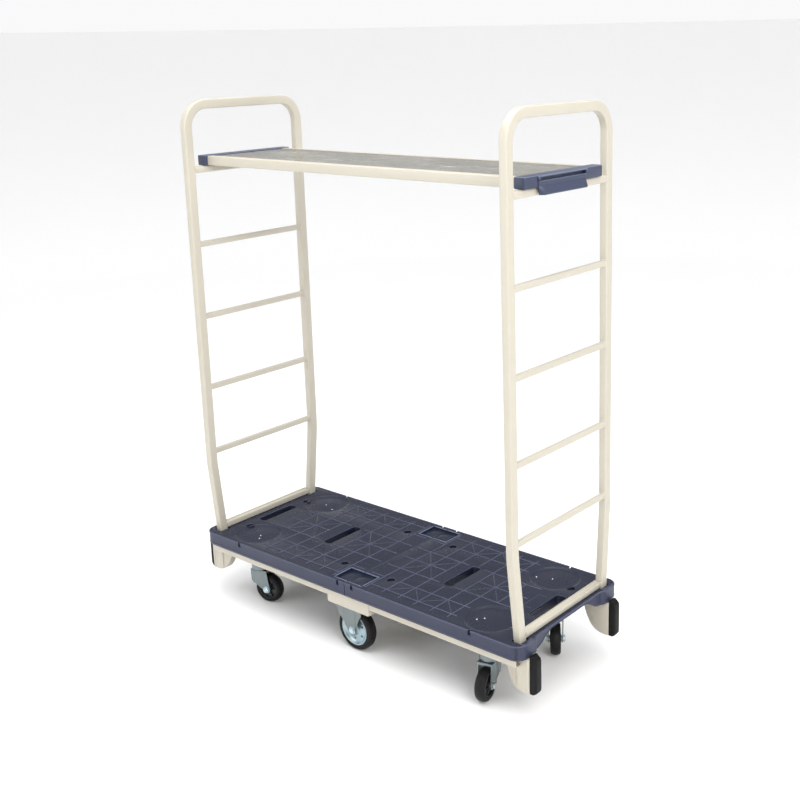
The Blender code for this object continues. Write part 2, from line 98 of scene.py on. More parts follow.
HOOP_LO, HOOP_HI = cad("frame_hoop_right")
FRAME_X, TUBE_X, TUBE_W = 559.0, 22.0, 26.0
FRAME_TOP, FRAME_Y, BEND_R = HOOP_HI.z, HOOP_HI.y, 78.0
BEND_Z, FOOT_Z = 440.0, HOOP_LO.z
FOOT_Y, BEND_LEAN, FOOT_LEAN = 197.0, 5.0, 9.0

SHELF_TOP, SHELF_Z0 = 1345.0, 1319.0
SHELF_Y = 150.0


# ---- solids: (points, faces) pairs in millimetres ------------------------------------
def solid(bm):
    bmesh.ops.recalc_face_normals(bm, faces=bm.faces)
    bm.verts.index_update()
    made = ([v.co.copy() for v in bm.verts], [[v.index for v in f.verts] for f in bm.faces])
    bm.free()
    return made


def merge(*parts):
    dots, faces = [], []
    for more, rings in parts:
        base = len(dots)
        dots += [Vector(v) for v in more]
        faces += [[i + base for i in ring] for ring in rings]
    return dots, faces


def shift(part, x=0.0, y=0.0, z=0.0):
    return [v + Vector((x, y, z)) for v in part[0]], part[1]


def turn(part, degrees, axis="Z"):
    m = Matrix.Rotation(math.radians(degrees), 3, axis)
    return [m @ v for v in part[0]], part[1]


def flip(part, sx=1, sy=1, sz=1):
    """Mirrors a solid and keeps its faces pointing out."""
    dots = [Vector((v.x * sx, v.y * sy, v.z * sz)) for v in part[0]]
    faces = part[1] if sx * sy * sz > 0 else [ring[::-1] for ring in part[1]]
    return dots, faces


def block(lo, hi, r=0.0, steps=2):
    """A box with rounded edges."""
    bm = bmesh.new()
    bmesh.ops.create_cube(bm, size=1.0)
    bmesh.ops.scale(bm, vec=[b - a for a, b in zip(lo, hi)], verts=bm.verts)
    bmesh.ops.translate(bm, vec=[(a + b) / 2 for a, b in zip(lo, hi)], verts=bm.verts)
    if r:
        bmesh.ops.bevel(bm, geom=bm.edges[:], offset=r, segments=steps, profile=0.5,
                        affect="EDGES", clamp_overlap=True)
    return solid(bm)


PLANES = {"XY": Matrix.Identity(3),
          "XZ": Matrix(((1, 0, 0), (0, 0, -1), (0, 1, 0))),
          "YZ": Matrix(((0, 0, 1), (1, 0, 0), (0, 1, 0)))}


def prism(outline, a, b, plane="XY", r=0.0, steps=2, angle=25):
    """An outline pushed from a to b along the plane's normal, sharp edges rounded by r.
    The normals are +Z, -Y and +X for XY, XZ and YZ."""
    bm = bmesh.new()
    low = [bm.verts.new((u, v, a)) for u, v in outline]
    high = [bm.verts.new((u, v, b)) for u, v in outline]
    bm.faces.new(low[::-1])
    bm.faces.new(high)
    count = len(outline)
    for i in range(count):
        j = (i + 1) % count
        bm.faces.new((low[i], low[j], high[j], high[i]))
    bmesh.ops.recalc_face_normals(bm, faces=bm.faces)
    if r:
        sharp = [e for e in bm.edges if e.calc_face_angle(0) > math.radians(angle)]
        bmesh.ops.bevel(bm, geom=sharp, offset=r, segments=steps, profile=0.5,
                        affect="EDGES", clamp_overlap=True)
    bmesh.ops.rotate(bm, matrix=PLANES[plane], verts=bm.verts)
    return solid(bm)


def arc(cx, cy, radius, start, end, steps):
    return [(cx + radius * math.cos(math.radians(start + (end - start) * i / steps)),
             cy + radius * math.sin(math.radians(start + (end - start) * i / steps)))
            for i in range(steps + 1)]


def circle(cx, cy, radius, steps=32):
    return arc(cx, cy, radius, 0, 360, steps)[:-1]


def slot_ring(cx, cy, half_l, half_w, r=9.0):
    """A slot outline that is long in Y, its corners rounded by r."""
    return [(cx + u, cy + v) for u, v in rounded_section(half_w, half_l, r, 5)]


def plate(outline, holes, z0, z1, edge=0.0, res=2):
    """A flat sheet with holes and rounded edges, made by a filled 2D curve."""
    curve = bpy.data.curves.new("plate", "CURVE")
    curve.dimensions = "2D"
    curve.fill_mode = "BOTH"
    curve.extrude = (z1 - z0) / 2 - edge
    if edge:
        curve.bevel_depth = edge
        curve.bevel_resolution = res
        curve.offset = -edge
    for ring in [outline] + list(holes):
        line = curve.splines.new("POLY")
        line.points.add(len(ring) - 1)
        for point, (u, v) in zip(line.points, ring):
            point.co = (u, v, 0.0, 1.0)
        line.use_cyclic_u = True
    guide = bpy.data.objects.new("plate", curve)
    bpy.context.scene.collection.objects.link(guide)
    bpy.context.view_layer.update()
    seen = guide.evaluated_get(bpy.context.evaluated_depsgraph_get())
    mesh = bpy.data.meshes.new_from_object(seen)
    bpy.data.objects.remove(guide, do_unlink=True)
    bpy.data.curves.remove(curve)
    bm = bmesh.new()
    bm.from_mesh(mesh)
    bpy.data.meshes.remove(mesh)
    bmesh.ops.remove_doubles(bm, verts=bm.verts, dist=0.001)
    bmesh.ops.translate(bm, vec=(0, 0, (z0 + z1) / 2), verts=bm.verts)
    return solid(bm)


def turned(profile, steps=48, axis="Z", closed=True):
    """A closed profile of (radius, height) points spun round an axis; one that starts
    and ends on the axis is closed by the axis."""
    bm = bmesh.new()
    rings = []
    for r, h in profile:
        if r < 1e-6:
            rings.append([bm.verts.new((0, 0, h))])
        else:
            rings.append([bm.verts.new((r * math.cos(2 * math.pi * i / steps),
                                        r * math.sin(2 * math.pi * i / steps), h))
                          for i in range(steps)])
    pairs = list(zip(rings, rings[1:]))
    if closed:
        pairs.append((rings[-1], rings[0]))
    for one, two in pairs:
        if len(one) == 1 and len(two) == 1:
            continue
        for i in range(steps):
            j = (i + 1) % steps
            if len(one) == 1:
                bm.faces.new((one[0], two[j], two[i]))
            elif len(two) == 1:
                bm.faces.new((one[i], one[j], two[0]))
            else:
                bm.faces.new((one[i], one[j], two[j], two[i]))
    if axis == "Y":
        bmesh.ops.rotate(bm, matrix=Matrix.Rotation(-math.pi / 2, 3, "X"), verts=bm.verts)
    if axis == "X":
        bmesh.ops.rotate(bm, matrix=Matrix.Rotation(math.pi / 2, 3, "Y"), verts=bm.verts)
    return solid(bm)


def rod(radius, a, b, axis="Z", steps=24, round_end=0.0):
    e = min(round_end, radius * 0.9)
    profile = [(0, a), (radius - e, a), (radius, a + e), (radius, b - e), (radius - e, b),
               (0, b)]
    if not e:
        profile = [(0, a), (radius, a), (radius, b), (0, b)]
    return turned(profile, steps, axis, closed=False)


def hexagon(radius, a, b, axis="Y", chamfer=0.8):
    """A hex nut or bolt head with its outer corners eased."""
    return rod(radius, a, b, axis, 6, chamfer)


def both_sides(half):
    """A wheel's whole profile from the half with positive heights."""
    return half + [(r, -h) for r, h in reversed(half)]


def span(sign, near, far):
    """Two distances put on one side of the middle, the lower one first."""
    return sorted((sign * near, sign * far))


def sweep(rings, ends=True, loop=False):
    """Joins rings of points that all have the same count."""
    bm = bmesh.new()
    rows = [[bm.verts.new(p) for p in ring] for ring in rings]
    count = len(rows[0])
    pairs = list(zip(rows, rows[1:])) + ([(rows[-1], rows[0])] if loop else [])
    for one, two in pairs:
        for i in range(count):
            j = (i + 1) % count
            bm.faces.new((one[i], one[j], two[j], two[i]))
    if ends and not loop:
        bm.faces.new(rows[0][::-1])
        bm.faces.new(rows[-1])
    return solid(bm)


def rounded_section(a, b, r, steps=4):
    """A rectangle of half sizes a and b with corners of radius r."""
    ring = []
    for cx, cy, start in ((a - r, b - r, 0), (-a + r, b - r, 90), (-a + r, -b + r, 180),
                          (a - r, -b + r, 270)):
        ring += arc(cx, cy, r, start, start + 90, steps)
    return ring


def cut(part, tool, how="DIFFERENCE"):
    """Takes the tool's space out of a solid, or keeps only what both share."""
    items = []
    for one in (part, tool):
        mesh = bpy.data.meshes.new("cut")
        mesh.from_pydata(one[0], [], one[1])
        item = bpy.data.objects.new("cut", mesh)
        bpy.context.scene.collection.objects.link(item)
        items.append(item)
    step = items[0].modifiers.new("cut", "BOOLEAN")
    step.operation, step.solver, step.object = how, "EXACT", items[1]
    bpy.context.view_layer.update()
    seen = items[0].evaluated_get(bpy.context.evaluated_depsgraph_get())
    mesh = bpy.data.meshes.new_from_object(seen)
    bm = bmesh.new()
    bm.from_mesh(mesh)
    bpy.data.meshes.remove(mesh)
    for item in items:
        old = item.data
        bpy.data.objects.remove(item, do_unlink=True)
        bpy.data.meshes.remove(old)
    return solid(bm)


def piece(name, part, mats, body, stands_for=(), angle=38, pick=None):
    """Makes a shown object from a solid. pick(normal, centre) gives a face's material
    index where there is more than one material."""
    mesh = bpy.data.meshes.new(name)
    mesh.from_pydata([v * 0.001 for v in part[0]], [], part[1])
    mats = mats if isinstance(mats, (list, tuple)) else [mats]
    for mat in mats:
        mesh.materials.append(mat)
    if pick:
        for face in mesh.polygons:
            face.material_index = pick(face.normal, face.center * 1000)
    mesh.shade_smooth()
    mesh.set_sharp_from_angle(angle=math.radians(angle))
    item = bpy.data.objects.new(name, mesh)
    bpy.context.scene.collection.objects.link(item)
    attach(item, body)
    if stands_for:
        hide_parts(*stands_for)
    return item


# ---- materials -------------------------------------------------------------------------
class Finish:
    """A Principled material with a few procedural layers, in object coordinates."""

    def __init__(self, name, colour, roughness, metallic=0.0, **sockets):
        self.mat = bpy.data.materials.new(name)
        self.mat.use_nodes = True
        self.tree = self.mat.node_tree
        self.shader = self.tree.nodes["Principled BSDF"]
        self.shader.inputs["Roughness"].default_value = roughness
        self.shader.inputs["Metallic"].default_value = metallic
        for key, value in sockets.items():
            self.shader.inputs[key.replace("_", " ")].default_value = value
        self.mat.diffuse_color = (*colour, 1.0)
        self.spot = self.node("ShaderNodeTexCoord").outputs["Object"]
        self.colour = None
        self.base = colour
        self.bump = None

    def node(self, kind, **values):
        made = self.tree.nodes.new(kind)
        for key, value in values.items():
            setattr(made, key, value)
        return made

    def link(self, a, b):
        self.tree.links.new(a, b)

    def noise(self, scale, detail=4.0, rough=0.55, stretch=None, distort=0.0):
        source = self.spot
        if stretch:
            place = self.node("ShaderNodeMapping")
            place.inputs["Scale"].default_value = stretch
            self.link(self.spot, place.inputs["Vector"])
            source = place.outputs["Vector"]
        made = self.node("ShaderNodeTexNoise")
        made.inputs["Scale"].default_value = scale
        made.inputs["Detail"].default_value = detail
        made.inputs["Roughness"].default_value = rough
        made.inputs["Distortion"].default_value = distort
        self.link(source, made.inputs["Vector"])
        return made.outputs["Fac"]

    def ramp(self, source, *stops):
        made = self.node("ShaderNodeValToRGB")
        line = made.color_ramp
        while len(line.elements) < len(stops):
            line.elements.new(0.5)
        for element, (place, value) in zip(line.elements, stops):
            element.position = place
            tone = value if isinstance(value, (list, tuple)) else (value,) * 3
            element.color = (*tone, 1.0)
        self.link(source, made.inputs["Fac"])
        return made.outputs["Color"]

    def paint(self, mask, colour):
        """Mixes a colour over what is there by a mask."""
        made = self.node("ShaderNodeMix", data_type="RGBA")
        self.link(mask, made.inputs["Factor"])
        if self.colour is None:
            made.inputs["A"].default_value = (*self.base, 1.0)
        else:
            self.link(self.colour, made.inputs["A"])
        made.inputs["B"].default_value = (*colour, 1.0)
        self.colour = made.outputs["Result"]
        self.link(self.colour, self.shader.inputs["Base Color"])
        return self

    def mottle(self, colour, start, full, strength, *pattern):
        """Lays a colour over what is there in patches that follow a noise pattern."""
        mask = self.ramp(self.noise(*pattern), (start, 0.0), (full, strength))
        return self.paint(mask, colour)

    def gloss(self, source, low, high):
        made = self.node("ShaderNodeMapRange")
        made.inputs["To Min"].default_value = low
        made.inputs["To Max"].default_value = high
        self.link(source, made.inputs["Value"])
        self.link(made.outputs["Result"], self.shader.inputs["Roughness"])
        return self

    def raise_by(self, source, strength, distance_m):
        made = self.node("ShaderNodeBump")
        made.inputs["Strength"].default_value = strength
        made.inputs["Distance"].default_value = distance_m
        self.link(source, made.inputs["Height"])
        if self.bump is not None:
            self.link(self.bump, made.inputs["Normal"])
        self.bump = made.outputs["Normal"]
        self.link(self.bump, self.shader.inputs["Normal"])
        return self


def ivory_paint():
    f = Finish("ivory_paint", (0.52, 0.486, 0.410), 0.34, 0.0, Specular_IOR_Level=0.5)
    f.mottle((0.485, 0.450, 0.372), 0.35, 0.75, 0.55, 3.0, 3)
    f.mottle((0.42, 0.38, 0.31), 0.66, 0.80, 0.35, 38.0, 6, 0.7)
    f.gloss(f.noise(22.0, 3), 0.27, 0.43)
    f.raise_by(f.noise(420.0, 2), 0.10, 0.0006)
    return f.mat


def deck_plastic(name, base, patch_tone, rough=(0.20, 0.36), grain=0.10):
    f = Finish(name, base, 0.3, 0.0, Specular_IOR_Level=0.32)
    # lighter patches laid at random by noise
    f.mottle(patch_tone, 0.35, 0.75, 0.8, 5.0, 5, 0.6)
    scuff = f.ramp(f.noise(60.0, 8, 0.75, (1.0, 3.2, 1.0), 0.6), (0.68, 0.0), (0.86, 0.07))
    f.paint(scuff, tuple(min(1.0, c * 1.7 + 0.01) for c in base))
    f.gloss(f.noise(14.0, 6, 0.65), *rough)
    f.raise_by(f.noise(900.0, 2), grain, 0.0005)
    return f.mat


# the default tint is darkened zinc: the shade on the forks and plates under the deck is painted
# into it
def zinc_plate(name="zinc", tint=(0.20, 0.225, 0.225), rough=(0.24, 0.42)):
    f = Finish(name, tint, 0.32, 0.85)
    f.mottle((tint[0] * 0.95, tint[1] * 1.08, tint[2] * 1.2),
             0.42, 0.66, 0.7, 18.0, 3, 0.5, None, 1.2)
    f.mottle((tint[0] * 1.25, tint[1] * 1.1, tint[2] * 0.92),
             0.60, 0.78, 0.5, 31.0, 4, 0.6, None, 0.8)
    f.gloss(f.noise(55.0, 5), *rough)
    f.raise_by(f.noise(300.0, 4, 0.6, (1, 1, 0.25)), 0.12, 0.0004)
    return f.mat


def black_rubber(name, base=(0.016, 0.017, 0.018), dust=(0.055, 0.050, 0.045),
                 rough=(0.42, 0.66)):
    f = Finish(name, base, 0.55, 0.0, Specular_IOR_Level=0.16)
    f.mottle(dust, 0.45, 0.80, 0.65, 26.0, 6, 0.65)
    f.gloss(f.noise(40.0, 4), *rough)
    f.raise_by(f.noise(700.0, 3), 0.16, 0.0006)
    return f.mat


def hub_plastic():
    f = Finish("hub_plastic", (0.012, 0.013, 0.016), 0.3, 0.0)
    f.mottle((0.040, 0.040, 0.055), 0.5, 0.8, 0.5, 40.0, 4)
    f.gloss(f.noise(30.0, 3), 0.22, 0.40)
    f.raise_by(f.noise(800.0, 2), 0.06, 0.0004)
    return f.mat


def shelf_film():
    """Grey sheet under a clear film that lies in soft wrinkles; the white streaks are painted
    reflections of the film.
    """
    f = Finish("shelf_film", (0.145, 0.137, 0.118), 0.25, 0.0, Specular_IOR_Level=0.5)
    f.mottle((0.215, 0.206, 0.180), 0.40, 0.72, 0.9, 7.0, 5, 0.6, (1.0, 2.0, 1.0), 0.5)
    # white streaks painted into the colour: painted reflections on the film
    film_reflection = f.ramp(f.noise(16.0, 6, 0.62, (0.55, 3.4, 1.0), 1.4), (0.58, 0.0), (0.72, 0.75))
    f.paint(film_reflection, (0.56, 0.56, 0.535))
    f.gloss(f.noise(24.0, 5, 0.6, (1.0, 3.0, 1.0)), 0.16, 0.46)
    f.raise_by(f.noise(22.0, 4, 0.55, (0.6, 2.6, 1.0), 1.0), 0.55, 0.004)
    return f.mat


# near-black: painted shade, used for the screw heads deep in their wells
def dark_void():
    f = Finish("socket_shadow", (0.006, 0.006, 0.009), 0.7, 0.0)
    f.mottle((0.014, 0.014, 0.018), 0.4, 0.8, 0.4, 30.0, 3)
    return f.mat


IVORY = ivory_paint()
DECK = deck_plastic("deck_plastic", (0.014, 0.018, 0.036), (0.022, 0.025, 0.044))
SKIRT = deck_plastic("deck_skirt", (0.028, 0.034, 0.068), (0.035, 0.039, 0.070),
                     (0.34, 0.50), 0.16)
# the deck plastic painted lighter: a painted highlight on the ridge tops, the rim's top bead
# and the hole bevels
RIDGE_HIGHLIGHT = deck_plastic("deck_ridge_highlight", (0.056, 0.064, 0.108), (0.068, 0.073, 0.114),
                     (0.30, 0.45), 0.12)
# a fainter painted highlight: the diagonal ridges, the box outline and the disc rims get this
# mid tone
FAINT_HIGHLIGHT = deck_plastic("deck_faint_ridge_highlight", (0.034, 0.040, 0.070), (0.042, 0.047, 0.074),
                     (0.28, 0.42), 0.12)
# the deck plastic painted darker: painted shade on the slot walls and the foot pocket walls
WELL_SHADE = deck_plastic("deck_slot_wall_shade", (0.009, 0.012, 0.028), (0.014, 0.017, 0.034),
                    (0.34, 0.50), 0.10)
CAP = deck_plastic("cap_plastic", (0.043, 0.053, 0.096), (0.052, 0.061, 0.100),
                   (0.28, 0.42), 0.12)
# the cap plastic painted lighter: a painted highlight on upward and sloped faces of the caps,
# the grip and the hand hold's lips
CAP_HIGHLIGHT = deck_plastic("cap_painted_highlight", (0.120, 0.145, 0.220), (0.140, 0.160, 0.230),
                        (0.26, 0.40), 0.10)
# darkened zinc for the forks and plates: painted shade
ZINC_SHADED = zinc_plate()
ZINC_BRIGHT = zinc_plate("zinc_bright", (0.55, 0.62, 0.62), (0.16, 0.30))
DISC_ZINC = zinc_plate("zinc_disc", (0.36, 0.45, 0.47), (0.24, 0.38))
RUBBER = black_rubber("black_rubber", (0.005, 0.005, 0.006), (0.014, 0.013, 0.012))
TYRE = black_rubber("tyre_rubber", (0.008, 0.008, 0.009), (0.026, 0.024, 0.022),
                    (0.36, 0.58))
HUB_BLACK = hub_plastic()
FILM = shelf_film()
VOID = dark_void()


# ---- deck ----------------------------------------------------------------------------
def arch_low(y):
    """Height of the skirt's bottom edge along the deck's end face."""
    t = (END_STEP_Y - abs(y)) / (END_STEP_Y - 72.0)
    t = max(0.0, min(1.0, t))
    t = t * t * (3 - 2 * t)
    return LOW + (TOP - SKIN - 0.3 - LOW) * t


def skirt_stations():
    """(x, y, outward normal, top, bottom) round the right half, seam to seam."""
    notch_top = TOP - NOTCH_H
    stops = []
    y = -DECK_Y
    for x in (0.9, *RIM_NOTCH_X):
        if x > 1:
            a, b = x - NOTCH_W / 2, x + NOTCH_W / 2
            for u, h in ((a - 0.02, TOP), (a, notch_top), (b, notch_top), (b + 0.02, TOP)):
                stops.append((u, y, (0, -1), h, LOW))
        else:
            stops.append((x, y, (0, -1), TOP, LOW))
    cx, cy = DECK_X - CORNER_R, -DECK_Y + CORNER_R
    for i in range(15):
        a = math.radians(-90 + 90 * i / 14)
        stops.append((cx + CORNER_R * math.cos(a), cy + CORNER_R * math.sin(a),
                      (math.cos(a), math.sin(a)), TOP, LOW))
    corner = len(stops)     # the stations so far repeat on the far side
    half = []
    for i in range(9):      # the end face eases back from the corner block
        t = i / 8
        yy = -END_STEP_Y - 16 + 16 * t
        xx = DECK_X - (DECK_X - END_STEP_X) * (t * t * (3 - 2 * t))
        half.append((xx, yy))
    for i in range(1, 19):
        half.append((END_STEP_X, -END_STEP_Y + END_STEP_Y * i / 18))
    line = half + [(x, -y) for x, y in half[-2::-1]]
    for k, (x, y) in enumerate(line):
        a, b = line[max(0, k - 1)], line[min(len(line) - 1, k + 1)]
        d = Vector((b[0] - a[0], b[1] - a[1])).normalized()
        stops.append((x, y, (d.y, -d.x), TOP, arch_low(y)))
    far_side = [(x, -y, (n[0], -n[1]), t, b) for x, y, n, t, b in reversed(stops[:corner])]
    return stops + far_side


def skirt_ring(x, y, normal, top, low):
    """The skirt's section: chamfered foot, a lip line, the wall, a rounded top bead."""
    tall = max(0.0, min(1.0, (top - low) / 22.0))
    outer = [(-5.0, low), (-3.4, low + 0.3 * tall), (-0.7, low + 5.6 * tall),
             (-0.1, low + 7.2 * tall), (-0.2, low + 8.4 * tall), (-1.0, low + 9.6 * tall)]
    bead = [(-1.0, top - 5.0), (-0.5, top - 3.9), (0.0, top - 2.6), (-0.3, top - 1.1),
            (-1.3, top - 0.2), (-2.4, top), (-3.4, top - 0.5), (-4.0, top - 1.7),
            (-4.2, top - 3.4), (-6.4, top - 3.4)]
    ring = outer + [(n, max(z, outer[-1][1])) for n, z in bead] + [(-6.4, low)]
    return [Vector((x + normal[0] * n, y + normal[1] * n, z)) for n, z in ring]


def field_outline(inset=4.05, bite=6.0):
    """The deck's flat inside the rim, with bites at the rim notches."""
    y1 = DECK_Y - inset
    pad0, pad1 = PAD_Y0, PAD_Y1
    near = [(GAP / 2, -pad0), (PAD_X, -pad0), (PAD_X, -pad1), (GAP / 2, -pad1),
             (GAP / 2, -y1)]
    for x in RIM_NOTCH_X:
        a, b = x - NOTCH_W / 2, x + NOTCH_W / 2
        deep = bite if x > 100 else 3.0
        near += [(a, -y1), (a, -y1 + deep), (b, -y1 + deep), (b, -y1)]
    r = CORNER_R - inset
    near += arc(DECK_X - CORNER_R, -DECK_Y + CORNER_R, r, -90, 0, 12)
    x1 = END_STEP_X - inset
    near += [(DECK_X - inset, -END_STEP_Y - 16), (x1 + 4, -END_STEP_Y - 8),
             (x1, -END_STEP_Y + 1)]
    return near + [(x, -y) for x, y in reversed(near)]


def collar(ring_in, ring_out, z0, z1):
    """A wall that hangs below a hole's edge."""
    return plate(ring_out, [ring_in], z0, z1)


def ridge(a, b, width, z0, height, taper=2.0):
    """A low rounded strip from a to b on the deck."""
    a, b = Vector((*a, 0)), Vector((*b, 0))
    along = (b - a).normalized()
    side = Vector((-along.y, along.x, 0)) * (width / 2)
    rings = []
    for at, tall in ((a, 0.02), (a + along * taper, 1.0), (b - along * taper, 1.0),
                     (b, 0.02)):
        rings.append([at + side * s + Vector((0, 0, z0 + height * tall * h))
                      for s, h in ((1, -0.4), (0.86, 0.3), (0.5, 0.86), (0, 1.0),
                                   (-0.5, 0.86), (-0.86, 0.3), (-1, -0.4))])
    return sweep(rings)


def deck_ridges():
    """The straight grid of the right half, and its diagonals."""
    xs = [GRID_X0 + GRID_STEP * i for i in range(7)]
    far = xs[5] + 18
    straight, slant = [], []
    for sy in (-1, 1):
        y1, y2, y3 = (sy * y for y in GRID_Y)
        straight += [((xs[0], y3), (far, y3)), ((12, y2), (xs[0], y2)),
                     ((xs[1], y2), (far, y2)), ((12, y1), (206, y1)), ((258, y1), (456, y1))]
        straight += [((xs[3], sy * 76), (xs[3], sy * 204))]
        for i in range(4):
            up, down = (y2, y3) if i % 2 else (y3, y2)
            slant.append(((xs[1 + i], up), (xs[2 + i], down)))
    for i in (0, 1, 2, 4, 5):
        reach = 203 if i else 208
        straight.append(((xs[i], -reach), (xs[i], reach)))
    straight += [((xs[6], -62), (xs[6], 65)), ((12, 0), (xs[2], 0)), ((xs[4], 0), (456, 0))]
    for i in (0, 4):
        for s in (-1, 1):
            slant.append(((xs[i], s * 65), (xs[i + 2], -s * 65)))
    frame_line = [((468, -37), (468, 37)), ((468, 37), (495, 37)), ((468, -37), (495, -37))]
    lips = []
    for s in (-1, 1):        # the lips of the hand hold at the seam
        lips += [((2, s * (PAD_Y0 - 2)), (PAD_X + 3, s * (PAD_Y0 - 2))),
                 ((2, s * (PAD_Y1 + 1)), (PAD_X, s * (PAD_Y1 + 1))),
                 ((PAD_X + 2, s * (PAD_Y0 - 4)), (PAD_X + 2, s * (PAD_Y1 - 3)))]
    return straight, slant, frame_line, lips


def disc_floor():
    """The shallow dish inside a disc outline."""
    return turned([
        (0, FIELD - 1.0), (20, FIELD - 1.5), (40, FIELD - 2.6), (54, FIELD - 3.3),
        (62, FIELD - 3.4), (66.5, FIELD - 2.6), (DISC_R - 0.6, FIELD - 1.5),
        (DISC_R + 1.0, FIELD - 1.6), (DISC_R + 1.0, FIELD - 8), (0, FIELD - 8)], 64,
        closed=False)


def pad_floor(s):
    """The floor of the hand hold at the seam, with a raised panel."""
    y0, y1 = span(s, PAD_Y0 - 0.5, PAD_Y1 + 0.8)
    floor = block((GAP / 2, y0, FIELD - 8.4), (PAD_X + 0.5, y1, FIELD - 5.2), 0.5)
    y0, y1 = span(s, PAD_Y0 + 12, PAD_Y1 - 10)
    return merge(floor, block((4, y0, FIELD - 5.6), (PAD_X - 10, y1, FIELD - 4.4), 0.4))


def screw_well():
    wall = collar(circle(0, 0, 11.1, 24), circle(0, 0, 13.5, 24), FIELD - 16, FIELD - 1.6)
    return merge(wall, rod(12, FIELD - 16, FIELD - 7.5))


def pocket_wall(ring):
    """The wall round the hole for a foot of the end frame."""
    cx = (ring[0][0] + ring[1][0]) / 2
    cy = (ring[0][1] + ring[2][1]) / 2
    outer = [(cx + (x - cx) * 1.16, cy + (y - cy) * 1.12) for x, y in ring]
    return collar(ring, outer, TOP - 36, FIELD - 1.6)


def under_ribs():
    """Ribs under the skin, below the ridges of the grid."""
    z0, z1, half = TOP - 26, FIELD - 8, 1.2
    parts = []
    for i in range(9):
        x = GRID_X0 + GRID_STEP * i
        if all(abs(x - slot) >= 22 for slot in SLOT_X):
            parts.append(block((x - half, -192, z0), (x + half, 192, z1)))
    for y in (*GRID_Y, 0.0, *[-v for v in GRID_Y]):
        for x0, x1 in ((0.2, 214), (252, 502)) if abs(y) < 100 else ((0.2, 545),):
            parts.append(block((x0, y - half, z0), (x1, y + half, z1)))
    return parts


def deck_moulding(screws):
    """The right half of the deck: skin, skirt, dishes, wells, pockets and ribs."""
    discs = [(DISC_X, s * DISC_Y) for s in (-1, 1)]
    feet = []
    for s in (-1, 1):
        (x0, x1), (y0, y1) = POCKET_X, span(s, *POCKET_Y)
        feet.append([(x0, y0), (x1, y0), (x1, y1), (x0, y1)])
    holes = [slot_ring(x, 0, SLOT_HALF_L, SLOT_HALF_W) for x in SLOT_X]
    holes += [circle(x, y, DISC_R, 64) for x, y in discs]
    holes += [circle(x, y, 11.0, 24) for x, y in screws] + feet
    parts = [plate(field_outline(), holes, FIELD - SKIN, FIELD, 1.8, 3),
             sweep([skirt_ring(*stop) for stop in skirt_stations()])]
    parts += [shift(disc_floor(), x, y) for x, y in discs]
    parts += [pad_floor(s) for s in (-1, 1)]
    parts += [shift(screw_well(), x, y) for x, y in screws]
    parts += [pocket_wall(ring) for ring in feet]
    return merge(*parts, *under_ribs())


def deck_tone(normal, centre):
    """Which of deck, ridge highlight, skirt, faint ridge highlight and well shade a face of the
    moulding gets.
    """
    far_x, far_y = abs(centre.x), abs(centre.y)
    pocket = (POCKET_X[0] - 3.5 < far_x < POCKET_X[1] + 3.5
              and POCKET_Y[0] - 3.5 < far_y < POCKET_Y[1] + 3)
    # pocket walls get the darker well plastic: painted shade
    if pocket and centre.z < FIELD - 1.9:
        return 4
    near_rim = far_y > DECK_Y - 4.1 or far_x > END_STEP_X - 4.1
    # upward faces of the rim's top bead get the ridge plastic: a painted highlight line
    if centre.z > TOP - 4.5 and near_rim and normal.z > 0.15:
        return 1
    if near_rim and centre.z < TOP - 2:
        return 2
    # sloped faces round the holes get lighter plastic: painted highlight on the bevels, fainter
    # on the disc rims
    if centre.z > FIELD - 1.3 and 0.12 < normal.z < 0.96 and not near_rim:
        reach = math.hypot(far_x - DISC_X, far_y - DISC_Y)
        return 3 if abs(reach - DISC_R) < 4 else 1
    return 0


